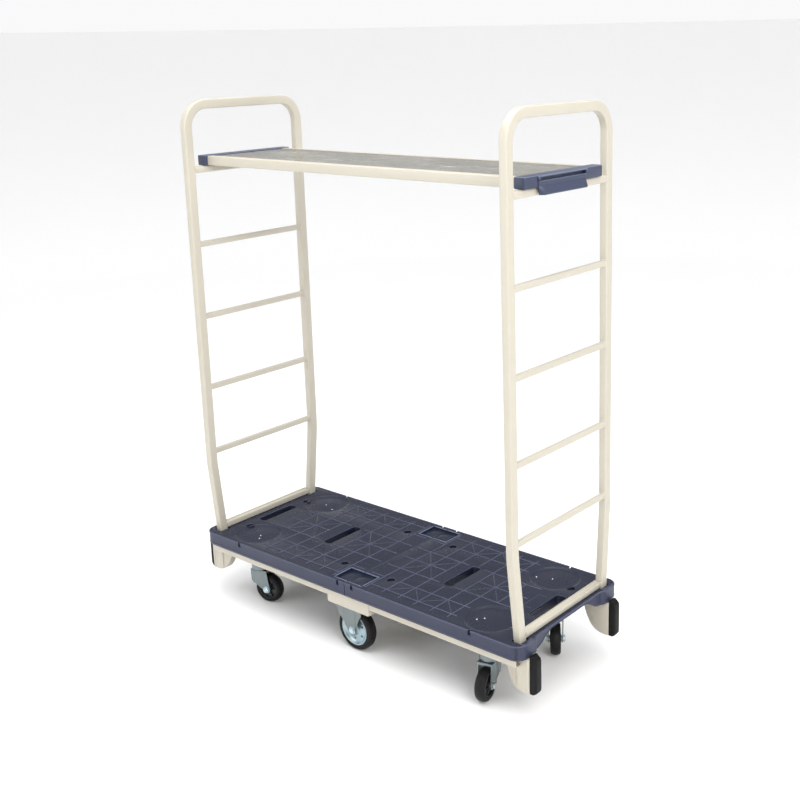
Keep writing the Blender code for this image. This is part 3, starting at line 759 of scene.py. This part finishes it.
def deck_half(name, side):
    screws = [(x, s * y) for x, y in SCREWS for s in (-1, 1)]
    tall = TOP - FIELD
    straight, slant, box_line, lips = deck_ridges()
    # the slot walls get the darker plastic: painted shade in the slots
    wells = [collar(slot_ring(x, 0, SLOT_HALF_L + 0.1, SLOT_HALF_W + 0.1),
                    slot_ring(x, 0, SLOT_HALF_L + 3.5, SLOT_HALF_W + 3.5), LOW + 0.5,
                    FIELD - 2.0) for x in SLOT_X]
    weak = [ridge(a, b, 3.6, FIELD, tall * 0.75) for a, b in slant]
    weak += [ridge(a, b, 3.0, FIELD, tall * 0.6) for a, b in box_line]
    shapes = {
        "_moulding": (deck_moulding(screws), [DECK, RIDGE_HIGHLIGHT, SKIRT, FAINT_HIGHLIGHT, WELL_SHADE], (name,), 32,
                      deck_tone),
        # the hand hold's lips get the lighter cap plastic: painted highlight lines
        "_pad_lips": (merge(*[ridge(a, b, 3.4, FIELD, tall) for a, b in lips]), CAP_HIGHLIGHT, (),
                      50, None),
        # the ridges get the lighter plastic: painted highlight on their tops
        "_ridges": (merge(*[ridge(a, b, 4.2, FIELD, tall) for a, b in straight]), RIDGE_HIGHLIGHT, (),
                    50, None),
        # the diagonals and the box outline get the fainter painted highlight
        "_diagonals": (merge(*weak), FAINT_HIGHLIGHT, (), 50, None),
        "_slot_walls": (merge(*wells), WELL_SHADE, (), 38, None)}
    for ending, (shape, mats, stands_for, angle, pick) in shapes.items():
        piece(name + ending, shape if side > 0 else flip(shape, -1), mats, "chassis",
              stands_for, angle, pick)
    head = merge(rod(6.5, FIELD - 7.6, FIELD - 5.4, "Z", 24, 0.9),
                 rod(3.0, FIELD - 5.5, FIELD - 5.3, "Z", 6))
    heads = [shift(head, side * x, y) for x, y in screws]
    # the screw heads get the near-black socket_shadow plastic: painted shade deep in the wells
    piece(name + "_screws", merge(*heads), VOID, "chassis")
    # bright studs that stand in for glints on the deck: painted glints
    glint_stud = turned([(0, FIELD + 0.9), (1.7, FIELD + 0.6), (2.6, FIELD - 0.2),
                    (2.6, FIELD - 2.5), (0, FIELD - 2.5)], 20, closed=False)
    glint_studs = [shift(glint_stud, side * x, y) for x, y in GLINT_SPOTS]
    piece(name + "_glint_studs", merge(*glint_studs), ZINC_BRIGHT, "chassis")


# ---- underframe ------------------------------------------------------------------------
def channel_ring(out, z0, z1, depth, wall, r):
    """A C section open towards the cart's middle, outer corners rounded."""
    back, i = out - depth, max(0.4, r - wall)
    ring = [(back, z0)] + arc(out - r, z0 + r, r, -90, 0, 4)
    ring += arc(out - r, z1 - r, r, 0, 90, 4) + [(back, z1), (back, z1 - wall)]
    ring += arc(out - wall - i, z1 - wall - i, i, 90, 0, 3)
    ring += arc(out - wall - i, z0 + wall + i, i, 0, -90, 3) + [(back, z0 + wall)]
    return ring


def underframe():
    for row, sy in ROWS.items():
        ring = channel_ring(RAIL_HI.y, RAIL_LO.z, RAIL_HI.z, 18, 3, 3.6)
        rail = prism(ring, RAIL_LO.x, RAIL_HI.x, "YZ")
        if sy < 0:
            rail = flip(rail, 1, -1)
        piece("side_rail_%s_channel" % row, rail, IVORY, "chassis",
              ("side_rail_" + row,), 40)
    ring = rounded_section(BEAM_HI.x, BEAM_HI.y, 13.0, 6)
    inner = rounded_section(BEAM_HI.x - 3, BEAM_HI.y - 3, 10.0, 6)
    tray = merge(plate(ring, [inner], BEAM_LO.z, BEAM_HI.z, 1.2, 3),
                 plate(rounded_section(BEAM_HI.x - 2, BEAM_HI.y - 2, 11, 6), [],
                       BEAM_HI.z - 3.2, BEAM_HI.z - 0.2))
    face = []
    for sy in (-1, 1):      # its long sides rise in front of the rails
        y0, y1 = span(sy, RAIL_HI.y + 0.15, BEAM_HI.y + 0.1)
        face.append(prism(rounded_section(BEAM_HI.x - 0.3, (LOW - BEAM_LO.z) / 2, 6, 5),
                          -y1, -y0, "XZ", 0.3, 1))
        face[-1] = shift(face[-1], 0, 0, (LOW + BEAM_LO.z) / 2)
    piece("middle_beam_tray", merge(tray, *face), IVORY, "chassis",
          ("middle_beam",))
    for name in SIDES:
        lo, hi = cad("cross_beam_" + name)
        cx, hx, hy = (lo.x + hi.x) / 2, (hi.x - lo.x) / 2, hi.y
        outer = [(cx + u, v) for u, v in rounded_section(hx, hy, 5, 3)]
        inner = [(cx + u, v) for u, v in rounded_section(hx - 3, hy - 3, 3, 3)]
        tray = merge(plate(outer, [inner], lo.z, hi.z, 0.9, 2),
                     block((lo.x + 2, -hy + 2, hi.z - 3.2), (hi.x - 2, hy - 2, hi.z - 0.2)))
        piece("cross_beam_%s_tray" % name, tray, IVORY, "chassis",
              ("cross_beam_" + name,))


def leg_shell(sx, sy):
    """A pressed leg: a flat face, a wing that folds back, a raised outer flange."""
    top, seat, inside = 174.7, LEG_HI.z, 585.7
    toe = LEG_LO.z
    face_y, back_y = LEG_HI.y, LEG_LO.y
    fold, spread, swept = 561.0, 1.22, 0.30
    wing = [(LEG_LO.x, seat), (LEG_LO.x, 150.0), (533.5, 137.0), (538.5, 121.0),
            (545.0, 106.0), (552.0, 95.0), (fold, 87.0)]
    wing = [(fold - (fold - x) * spread, z) for x, z in wing]
    face = [(LEG_HI.x, toe), (LEG_HI.x, top), (inside, top), (inside, seat), (fold, seat)]
    body = prism(face + wing + [(567.5, 84.0), (576.0, 81.6), (586.0, toe)],
                 -face_y, -back_y, "XZ", 1.6, 2)
    bent = []
    for v in body[0]:
        back = max(0.0, fold - v.x) * swept if v.y > (face_y + back_y) / 2 else 0.0
        bent.append(Vector((v.x, v.y - back, v.z)))
    parts = [(bent, body[1])]
    parts.append(block((LEG_HI.x - 7.4, back_y + 4, toe + 1.2),
                       (LEG_HI.x - 0.2, face_y + 1.5, top - 1.0), 1.0))
    parts.append(block((586.6, back_y + 4, toe + 14), (588.2, face_y + 0.6, top - 34), 0.5))
    parts.append(block((fold - 0.9, back_y + 4, toe + 9), (fold + 0.9, face_y + 0.5, 148),
                       0.5))
    return flip(merge(*parts), sx, sy)


def bumper():
    """A rubber block with a sloping top, a chamfered foot and eased upright edges."""
    lo, hi = BUMP_LO, BUMP_HI
    rings = []
    for z, grow in ((lo.z, 0.62), (lo.z + 2.5, 0.8), (lo.z + 7.5, 0.96), (lo.z + 12, 1.0),
                    (hi.z - 16, 1.0), (hi.z - 9, 0.93), (hi.z - 3.5, 0.66), (hi.z, 0.42)):
        inset = 3.2 * (1 - grow)
        x1, y0, y1 = lo.x + (hi.x - lo.x) * grow, lo.y + inset, hi.y - inset
        e = min(6.0, (x1 - lo.x) * 0.45)
        ring = [(lo.x, y0), (x1 - e, y0)] + arc(x1 - e, y0 + e, e, -75, -15, 2)
        ring += [(x1, y0 + e), (x1, (y0 + y1) / 2), (x1, y1 - e)]
        ring += arc(x1 - e, y1 - e, e, 15, 75, 2) + [(x1 - e, y1), (lo.x, y1)]
        rings.append([Vector((u, v, z)) for u, v in ring])
    return sweep(rings)


def legs_and_bumpers():
    pad = bumper()
    for corner, (sx, sy) in CORNERS.items():
        piece("leg_%s_pressing" % corner, leg_shell(sx, sy), IVORY, "chassis",
              ("leg_" + corner,), 34)
        piece("bumper_%s_block" % corner, flip(pad, sx, sy), RUBBER, "chassis",
              ("bumper_" + corner,), 24)


# ---- casters -----------------------------------------------------------------------------
def place(part, corner):
    arm, pin = ARM[corner], SWIVEL[corner]
    return shift(turn(part, math.degrees(math.atan2(arm.y, arm.x))), pin.x, pin.y)


def pressed_blade(section, outline, z0, z1, s):
    """A pressed steel blade: its section, seen from above, kept inside an outline."""
    wall = prism([(x, s * y) for x, y in section][::s], z0, z1, "XY")
    return cut(wall, prism(outline, -60, 60, "XZ"), "INTERSECT")


def corner_fork():
    """Crown and two pressed blades, in the swivel's own frame."""
    top = 105.9
    outline = arc(TRAIL, WHEEL_R, 12.0, 180, 360, 12)
    outline += [(31.5, top - 8), (30.5, top - 1), (-22.5, top - 1), (-23.0, top - 6),
                (-22.0, 72.0), (-20.0, 68.0)]
    section = [(-24, 15.5), (-24, 20.5), (-22.6, 21.9), (-17.5, 22.0), (-16.2, 23.0),
               (-12.6, 23.0), (-11.3, 22.0), (7, 22.0), (8.4, 22.8), (11.0, 22.8),
               (12.4, 22.0), (26.5, 20.6), (41, 19.6), (41, 17.4), (26.5, 18.2), (12, 19.4),
               (-20.6, 19.4), (-21.4, 18.6), (-21.4, 15.5)]
    parts = [block((-24.0, -22.0, top - 5.6), (31.5, 22.0, top), 1.8, 3),
             block((28.5, -22.0, top - 8.2), (32.2, 22.0, top - 0.8), 1.2, 2)]
    parts += [pressed_blade(section, outline, 28.0, top - 1.5, s) for s in (-1, 1)]
    return merge(*parts)


def corner_axle():
    """The bolt with its nuts, washers and spacers."""
    parts = [rod(5.5, -28.2, 28.2, "Y", 24, 1.0)]
    for s in (-1, 1):
        parts += [hexagon(9.0, *span(s, 21.6, 27.0), "Y", 1.0),
                  rod(10.4, *span(s, 20.4, 21.7), "Y", 28, 0.3),
                  rod(8.0, *span(s, 16.2, 18.0), "Y", 28, 0.3)]
    return shift(merge(*parts), TRAIL, 0, WHEEL_R)


def corner_wheel():
    """(tyre, hub): a rounded black tyre on a dished hub with a ring of webs."""
    w, r = WHEEL_W / 2, WHEEL_R
    side = [(31.0, w - 1.8), (32.5, w - 0.5), (34.0, w), (r - 7.0, w - 0.2),
            (r - 4.2, w - 1.8), (r - 2.2, w - 4.2), (r - 0.8, w - 7.6), (r, w - 12.5)]
    tyre = turned(both_sides(side), 72, "Y")
    half = [(6.2, 16.0), (11.0, 16.0), (11.8, 15.0), (12.6, 8.0), (27.6, 8.0),
            (28.4, w - 1.4), (29.2, w - 0.6), (31.0, w - 1.5)]
    hub = [turned(both_sides(half), 56, "Y")]
    for i in range(6):
        for s in (-1, 1):
            a, b = span(s, 7.5, 12.5)
            web = block((11.5, a, -1.3), (28.4, b, 1.3), 0.4)
            hub.append(turn(web, 60 * i, "Y"))
    return [shift(one, TRAIL, 0, WHEEL_R) for one in (tyre, merge(*hub))]


def corner_mount(corner):
    """Top plate with bolts, and the ball race under it; it stays on the cart."""
    lo, hi = cad("caster_plate_" + corner)
    cx, cy = (lo.x + hi.x) / 2, (lo.y + hi.y) / 2
    z1 = hi.z
    parts = [block((lo.x, lo.y, z1 - 4.0), (hi.x, hi.y, z1), 1.2, 2)]
    race = turned([(0, z1 - 3.9), (24, z1 - 3.9), (27.0, z1 - 6.0), (28.0, z1 - 9.0),
                   (28.0, z1 - 12.0), (26.4, z1 - 13.2), (25.6, z1 - 14.8),
                   (27.4, z1 - 16.2), (27.6, lo.z + 1.0), (26.6, lo.z), (0, lo.z)], 48,
                  closed=False)
    parts.append(shift(race, cx, cy))
    for u in (-1, 1):
        for v in (-1, 1):
            head = merge(hexagon(5.2, z1 - 7.6, z1 - 3.9, "Z", 0.6),
                         rod(6.4, z1 - 4.9, z1 - 3.9, "Z", 20, 0.2))
            parts.append(shift(head, cx + u * 35, cy + v * 27))
    return merge(*parts)


def corner_casters():
    fork, axle = corner_fork(), corner_axle()
    tyre, hub = corner_wheel()
    for corner in CORNERS:
        piece("caster_plate_%s_set" % corner, corner_mount(corner), ZINC_SHADED, "chassis",
              ("caster_plate_" + corner,))
        piece("caster_fork_%s_pressing" % corner, place(fork, corner), ZINC_SHADED,
              "swivel_" + corner, ("caster_fork_" + corner,), 30)
        piece("caster_axle_%s_bolt" % corner, place(axle, corner), ZINC_BRIGHT,
              "swivel_" + corner, (), 28)
        piece("caster_tyre_%s_ring" % corner, place(tyre, corner), TYRE, "wheel_" + corner,
              ("caster_wheel_" + corner,), 40)
        piece("caster_hub_%s_core" % corner, place(hub, corner), HUB_BLACK, "wheel_" + corner,
              (), 30)


def fixed_fork():
    """Crown and two blades of a middle caster, with the axle's centre at (0, r)."""
    r, top = FIXED_R, RAIL_LO.z - 3.6
    outline = arc(0, r, 16.5, 195, 345, 14)
    outline += [(19, 84), (27, 104), (34, 112), (35, top - 2), (-61, top - 2), (-59, 118),
                (-54, 108)]
    section = [(-64, 15), (-64, 20.0), (-62, 21.6), (-55, 21.6), (-53.5, 22.6), (-44, 22.6),
               (-42, 21.6), (-36, 21.6), (-34, 20.4), (-30.5, 20.4), (-28.5, 21.8),
               (7, 21.8), (9, 20.4), (12.5, 20.4), (14.5, 21.6), (30, 21.6), (36, 20.4),
               (36, 17.8), (29, 18.6), (-60, 18.6), (-61.4, 17.4), (-61.4, 15)]
    bore = shift(rod(6.4, -40, 40, "Y", 28), 0, 0, r)
    parts = [block((-62, -21.5, top - 6), (36, 21.5, top), 1.5, 2)]
    for s in (-1, 1):
        parts.append(cut(pressed_blade(section, outline, 40.0, top - 2.2, s), bore))
    return merge(*parts)


def fixed_bolt():
    parts = [rod(5.8, -27.5, 27.5, "Y", 28, 1.2)]
    for s in (-1, 1):
        parts += [hexagon(9.4, *span(s, 22.2, 26.8), "Y", 1.0),
                  rod(11.4, *span(s, 21.7, 22.9), "Y", 32, 0.4)]
    return shift(merge(*parts), 0, 0, FIXED_R)


def fixed_disc():
    """The pressed wheel centre: a dish with a raised rim and six holes."""
    w = FIXED_W / 2
    half = [(6.3, w + 2.0), (11.2, w + 2.0), (12.6, w + 1.2), (15.5, w - 3.0),
            (22.0, w - 5.6), (35.5, w - 6.2), (40.5, w - 3.6), (43.0, w - 0.6),
            (45.4, w + 0.2), (DISC_FACE_R - 0.1, w - 0.6)]
    dish = turned(both_sides(half), 72, "Y")
    for i in range(6):
        a = math.radians(60 * i + 25)
        dish = cut(dish, shift(rod(3.4, -30, 30, "Y", 20), 29 * math.cos(a), 0,
                               29 * math.sin(a)))
    return shift(dish, 0, 0, FIXED_R)


def fixed_tyre():
    w, r, inside = FIXED_W / 2, FIXED_R, DISC_FACE_R
    half = [(inside + 0.2, w - 1.2), (inside + 1.6, w - 0.4), (inside + 4.2, w),
            (inside + 5.2, w - 0.7), (inside + 6.2, w), (r - 6.0, w), (r - 3.4, w - 1.4),
            (r - 1.6, w - 3.8), (r - 0.6, w - 6.5), (r - 0.2, w - 9.4),
            (r - 1.1, w - 9.9), (r - 1.1, w - 11.0), (r, w - 11.5)]
    return shift(turned(both_sides(half), 80, "Y"), 0, 0, r)


def middle_casters():
    fork, bolt, disc, tyre = fixed_fork(), fixed_bolt(), fixed_disc(), fixed_tyre()
    for row, sy in ROWS.items():
        y, wheel = sy * abs(HUB.y), "middle_wheel_" + row
        piece("fixed_fork_%s_pressing" % row, shift(fork, 0, y), ZINC_SHADED, "chassis",
              ("fixed_fork_" + row,), 30)
        piece("fixed_axle_%s_bolt" % row, shift(bolt, 0, y), ZINC_BRIGHT, "chassis",
              ("fixed_axle_" + row,), 28)
        piece("fixed_disc_%s_wheel" % row, shift(disc, 0, y), DISC_ZINC, wheel,
              ("fixed_disc_" + row,), 30)
        piece("fixed_tyre_%s_ring" % row, shift(tyre, 0, y), TYRE, wheel,
              ("fixed_tyre_" + row,), 40)


# ---- end frames ----------------------------------------------------------------------------
def hoop_path():
    """Middle line of the bent tube in the YZ plane, from foot to foot."""
    h = TUBE_W / 2
    slope = (FRAME_Y - FOOT_Y) / (BEND_Z - TOP)
    foot = FOOT_Y - slope * (TOP - FOOT_Z)
    y, z, r = FRAME_Y - h, FRAME_TOP - h, BEND_R - h
    ease = 26.0      # half length of the eased bend above the foot
    path = [(foot - h, FOOT_Z)]
    for i in range(9):
        t = i / 8
        zz = BEND_Z - ease + 2 * ease * t
        yy = y - slope * ease * (1 - t) ** 2
        path.append((yy, zz))
    path += [(y, 700.0), (y, 1000.0)] + arc(y - r, z - r, r, 0, 90, 14)
    return path + [(-v, w) for v, w in reversed(path)]


def lean_out(z):
    """How far the uprights have moved outwards in X at a height."""
    spring = FRAME_TOP - BEND_R
    lean = BEND_LEAN * min(1.0, max(0.0, spring - z) / (spring - BEND_Z))
    return lean + (FOOT_LEAN - BEND_LEAN) * max(0.0, BEND_Z - z) / (BEND_Z - TOP)


def hoop(side):
    """The bent tube of one end frame."""
    path = [Vector((0, y, z)) for y, z in hoop_path()]
    section = rounded_section(TUBE_X / 2, TUBE_W / 2, 3.2, 4)
    rings = []
    for i, p in enumerate(path):
        a = path[i] - path[i - 1] if i else path[1] - path[0]
        b = path[i + 1] - path[i] if i + 1 < len(path) else a
        a, b = a.normalized(), b.normalized()
        t = (a + b).normalized()
        out = Vector((0, t.z, -t.y)) / max(0.5, t.dot(b))
        x = side * (FRAME_X + lean_out(p.z))
        rings.append([p + Vector((x + u, 0, 0)) + out * v for u, v in section])
    return sweep(rings)


def weld(y, z, half_x, half_z, x):
    """A small uneven bead round the joint of a rung and an upright."""
    inward = -math.copysign(1, y)
    rings = []
    for off, grow in ((0.0, 2.6), (0.9, 2.2), (2.0, 1.1), (3.0, 0.1)):
        ring = []
        for u, v in rounded_section(half_x + grow, half_z + grow, 3.0 + grow, 5):
            wave = 1.0 + 0.03 * math.sin(0.9 * (u + 2 * v) + z)
            ring.append(Vector((x + u * wave, y + off * inward, z + v * wave)))
        rings.append(ring)
    return sweep(rings)


def crossbar(node, r, steps):
    """A straight tube from upright to upright, its corners rounded by r."""
    lo, hi = cad(node)
    mid, half = (lo + hi) / 2, (hi - lo) / 2
    end = FRAME_Y - TUBE_W - 0.1
    section = rounded_section(half.x, half.z, r, steps)
    return sweep([[Vector((mid.x + u, y, mid.z + v)) for u, v in section]
                  for y in (-end, -60, 60, end)])


def end_frame(name, side):
    body = "frame_" + name
    piece("frame_hoop_%s_tube" % name, hoop(side), IVORY, body,
          ("frame_hoop_" + name,), 40)
    welds = []
    for i in range(1, 5):
        node = "frame_rung_%s_%d" % (name, i)
        lo, hi = cad(node)
        mid, half = (lo + hi) / 2, (hi - lo) / 2
        piece(node + "_bar", crossbar(node, 2.6, 4), IVORY, body, (node,), 40)
        welds += [weld(s * (FRAME_Y - TUBE_W - 0.1), mid.z, half.x, half.z, mid.x)
                  for s in (-1, 1)]
    node = "frame_shelf_bar_" + name
    piece(node + "_bar", crossbar(node, 4.5, 5), IVORY, body, (node,), 40)
    lo, hi = cad("frame_sill_" + name)
    out, back = (hi.x, lo.x) if side > 0 else (lo.x, hi.x)
    step = 1.6 * side
    ring = [(out, lo.z), (out, hi.z), (out - step, hi.z), (out - step, hi.z - 4.0),
            (back + step, hi.z - 4.0), (back + step, hi.z - 1.2), (back, hi.z - 1.2),
            (back, lo.z)]
    sill = prism(ring, -hi.y, -lo.y, "XZ", 0.6, 2)
    piece("frame_sill_%s_bar" % name, sill, IVORY, body,
          ("frame_sill_" + name,), 40)
    piece("frame_welds_" + name, merge(*welds), IVORY, body, (), 60)


# ---- shelf ---------------------------------------------------------------------------------
def shelf():
    for row, sy in ROWS.items():
        lo, hi = cad("shelf_channel_" + row)
        ring = channel_ring(SHELF_Y, SHELF_Z0, SHELF_TOP, 20, 2, 3.0)
        bar = prism(ring, lo.x, hi.x, "YZ")
        if sy < 0:
            bar = flip(bar, 1, -1)
        piece("shelf_channel_%s_edge" % row, bar, IVORY, "shelf",
              ("shelf_channel_" + row,), 40)
    lo, hi = cad("shelf_sheet")
    cells_x, cells_y = 90, 22
    dots = []
    for j in range(cells_y + 1):
        y = lo.y + (hi.y - lo.y) * j / cells_y
        for i in range(cells_x + 1):
            x = lo.x + (hi.x - lo.x) * i / cells_x
            edge = min(1.0, (hi.y - abs(y)) / 20, (hi.x - abs(x)) / 20)
            wave = (math.sin(x * 0.021 + 1.3 * math.sin(y * 0.03))
                    + 0.6 * math.sin(x * 0.047 - y * 0.05))
            dots.append(Vector((x, y, hi.z - 0.35 + 0.18 * edge * wave)))
    wide = cells_x + 1
    film = (dots, [[k, k + 1, k + wide + 1, k + wide] for j in range(cells_y)
                   for k in range(j * wide, j * wide + cells_x)])
    under = block(lo, (hi.x, hi.y, hi.z - 0.9))
    piece("shelf_sheet_panel", merge(film, under), FILM, "shelf",
          ("shelf_sheet",), 40)
    caps()
    grip()


def caps():
    for name, side in SIDES.items():
        lo, hi = cad("shelf_cap_" + name)
        x0, x1 = sorted((abs(lo.x), abs(hi.x)))
        y1, z0, z1 = hi.y, lo.z, hi.z
        shell = block((x0, -y1, z0), (x1, y1, z1), 3.0, 4)
        recess = block((x1 - 7, -104, z1 - 13), (x1 + 5, 84, z1 - 5.0))
        if side > 0:
            shell = cut(shell, recess)
        if side < 0:
            shell = flip(shell, -1)
        # sloped faces and the recess floor get the lighter cap plastic: painted highlight
        piece("shelf_cap_%s_moulding" % name, shell, [CAP, CAP_HIGHLIGHT], "shelf",
              ("shelf_cap_" + name,), 34,
              lambda n, c: 1 if 0.3 < n.z < 0.92 or (n.z > 0.3 and c.z < z1 - 4) else 0)


def grip():
    """The hand grip on the right cap: a raised rim round a finger recess, a flat face
    and a pull lip that folds out below it."""
    lo, hi = cad("shelf_grip")
    x0 = lo.x
    rows = [  # (height, reach out, end trim): the section from the top down
        (1345.0, 2.4, 0.0), (1344.6, 4.4, 0.3), (1343.6, 5.2, 0.8), (1342.4, 5.0, 1.2),
        (1341.0, 4.6, 1.8), (1333.8, 4.6, 4.0), (1332.8, 5.6, 4.4), (1331.4, 6.0, 4.8),
        (1323.4, 6.4, 6.2), (1322.2, 6.0, 6.4), (1321.2, 6.6, 6.6), (1319.0, 9.2, 6.8),
        (1308.0, 15.2, 8.4), (1305.0, 16.2, 9.2), (1303.0, 15.6, 9.8), (1302.0, 13.6, 10.4)]
    y0, y1 = lo.y, hi.y
    count = 28
    rings = []
    for k in range(count + 1):
        t = k / count
        ring = []
        for z, reach, trim in rows:
            a, b = y0 + trim * 0.5, y1 - trim * 1.7
            y = a + (b - a) * t
            edge = min(1.0, min(y - a, b - y) / 7.0 + 0.30)
            inner = 1333 < z < 1342
            ring.append(Vector((x0 + reach * (1.0 if inner else edge), y, z)))
        ring.append(Vector((x0, y0 + 5.2 + (y1 - y0 - 22.9) * t, 1302.0)))
        ring.append(Vector((x0, y0 + (y1 - y0) * t, 1345.0)))
        rings.append(ring)
    opening = block((x0 - 2, y0 + 7, 1334.2), (x0 + 20, y1 - 11, 1342.0))
    shell = cut(sweep(rings), opening)
    # upward faces get the lighter cap plastic: painted highlight
    piece("shelf_grip_moulding", shell, [CAP, CAP_HIGHLIGHT], "grip",
          ("shelf_grip",), 30, lambda n, c: 1 if n.z > 0.35 and c.z > 1325 else 0)


# ---- stage, light, camera --------------------------------------------------------------------
def stage():
    """A pale floor that curves up into a low wall all round."""
    profile = [(0.0, 0.0), (6.0, 0.0)]
    profile += [(6.0 + 2.2 * math.sin(a), 2.2 - 2.2 * math.cos(a))
                for a in (math.radians(10 * i) for i in range(1, 9))]
    dots, faces = turned(profile, 96, closed=False)
    mesh = bpy.data.meshes.new("floor")
    mesh.from_pydata(dots, [], faces)
    mesh.shade_smooth()
    floor = bpy.data.objects.new("floor", mesh)
    f = Finish("pale_floor", (0.93, 0.93, 0.93), 0.75, 0.0, Specular_IOR_Level=0.2)
    f.mottle((0.92, 0.92, 0.915), 0.4, 0.7, 0.5, 1.2, 3)
    mesh.materials.append(f.mat)
    bpy.context.scene.collection.objects.link(floor)


def lamp(name, place_m, aim_m, size_m, power, tone=(1.0, 1.0, 1.0)):
    data = bpy.data.lights.new(name, "AREA")
    data.shape = "RECTANGLE"
    data.size, data.size_y = size_m
    data.energy = power
    data.color = tone
    item = bpy.data.objects.new(name, data)
    item.location = place_m
    item.rotation_mode = "QUATERNION"
    item.rotation_quaternion = (Vector(aim_m) - Vector(place_m)).to_track_quat("-Z", "Y")
    item.visible_camera = False
    bpy.context.scene.collection.objects.link(item)


def light():
    world = bpy.data.worlds.new("studio")
    bpy.context.scene.world = world
    world.use_nodes = True
    tree = world.node_tree
    back = tree.nodes["Background"]
    spot = tree.nodes.new("ShaderNodeTexCoord")
    split = tree.nodes.new("ShaderNodeSeparateXYZ")
    tree.links.new(spot.outputs["Generated"], split.inputs["Vector"])
    ramp = tree.nodes.new("ShaderNodeValToRGB")
    stops = ((0.0, 0.95), (0.12, 0.95), (0.30, 0.32), (0.60, 0.40), (0.85, 1.5))
    line = ramp.color_ramp
    while len(line.elements) < len(stops):
        line.elements.new(0.5)
    for element, (at, tone) in zip(line.elements, stops):
        element.position = at
        element.color = (tone, tone, tone * 1.01, 1.0)
    tree.links.new(split.outputs["Z"], ramp.inputs["Fac"])
    tree.links.new(ramp.outputs["Color"], back.inputs["Color"])
    back.inputs["Strength"].default_value = 1.0
    lamp("overhead", (0.2, -0.4, 3.6), (0, 0, 0.4), (3.4, 3.0), 88)
    lamp("key_right", (3.0, -1.2, 2.2), (0.3, 0, 0.6), (2.0, 2.0), 64, (1.0, 0.99, 0.97))
    lamp("front_fill", (-1.6, -3.6, 1.7), (0, 0, 0.6), (2.6, 1.8), 34, (0.98, 0.99, 1.0))


def camera():
    yaw, pitch, roll = (math.radians(v) for v in (-38.786, 14.451, -1.076))
    ahead = Vector((math.sin(yaw) * math.cos(pitch), math.cos(yaw) * math.cos(pitch),
                    -math.sin(pitch)))
    right = Vector((math.cos(yaw), -math.sin(yaw), 0.0))
    up = right.cross(ahead)
    side = right * math.cos(roll) + up * math.sin(roll)
    head = up * math.cos(roll) - right * math.sin(roll)
    data = bpy.data.cameras.new("camera")
    data.sensor_width = 36.0
    data.lens = 51.29
    data.shift_x, data.shift_y = -0.10, -0.075
    data.clip_start, data.clip_end = 0.05, 60.0
    item = bpy.data.objects.new("camera", data)
    m = Matrix((side, head, -ahead)).transposed().to_4x4()
    m.translation = Vector((2.0900, -2.2126, 1.6318))
    item.matrix_world = m
    bpy.context.scene.collection.objects.link(item)
    bpy.context.scene.camera = item


# ---- build ----------------------------------------------------------------------------------
for side_name, side_sign in SIDES.items():
    deck_half("deck_" + side_name, side_sign)
    end_frame(side_name, side_sign)
underframe()
legs_and_bumpers()
corner_casters()
middle_casters()
shelf()
stage()
light()
camera()
bpy.context.scene.view_settings.view_transform = "Standard"
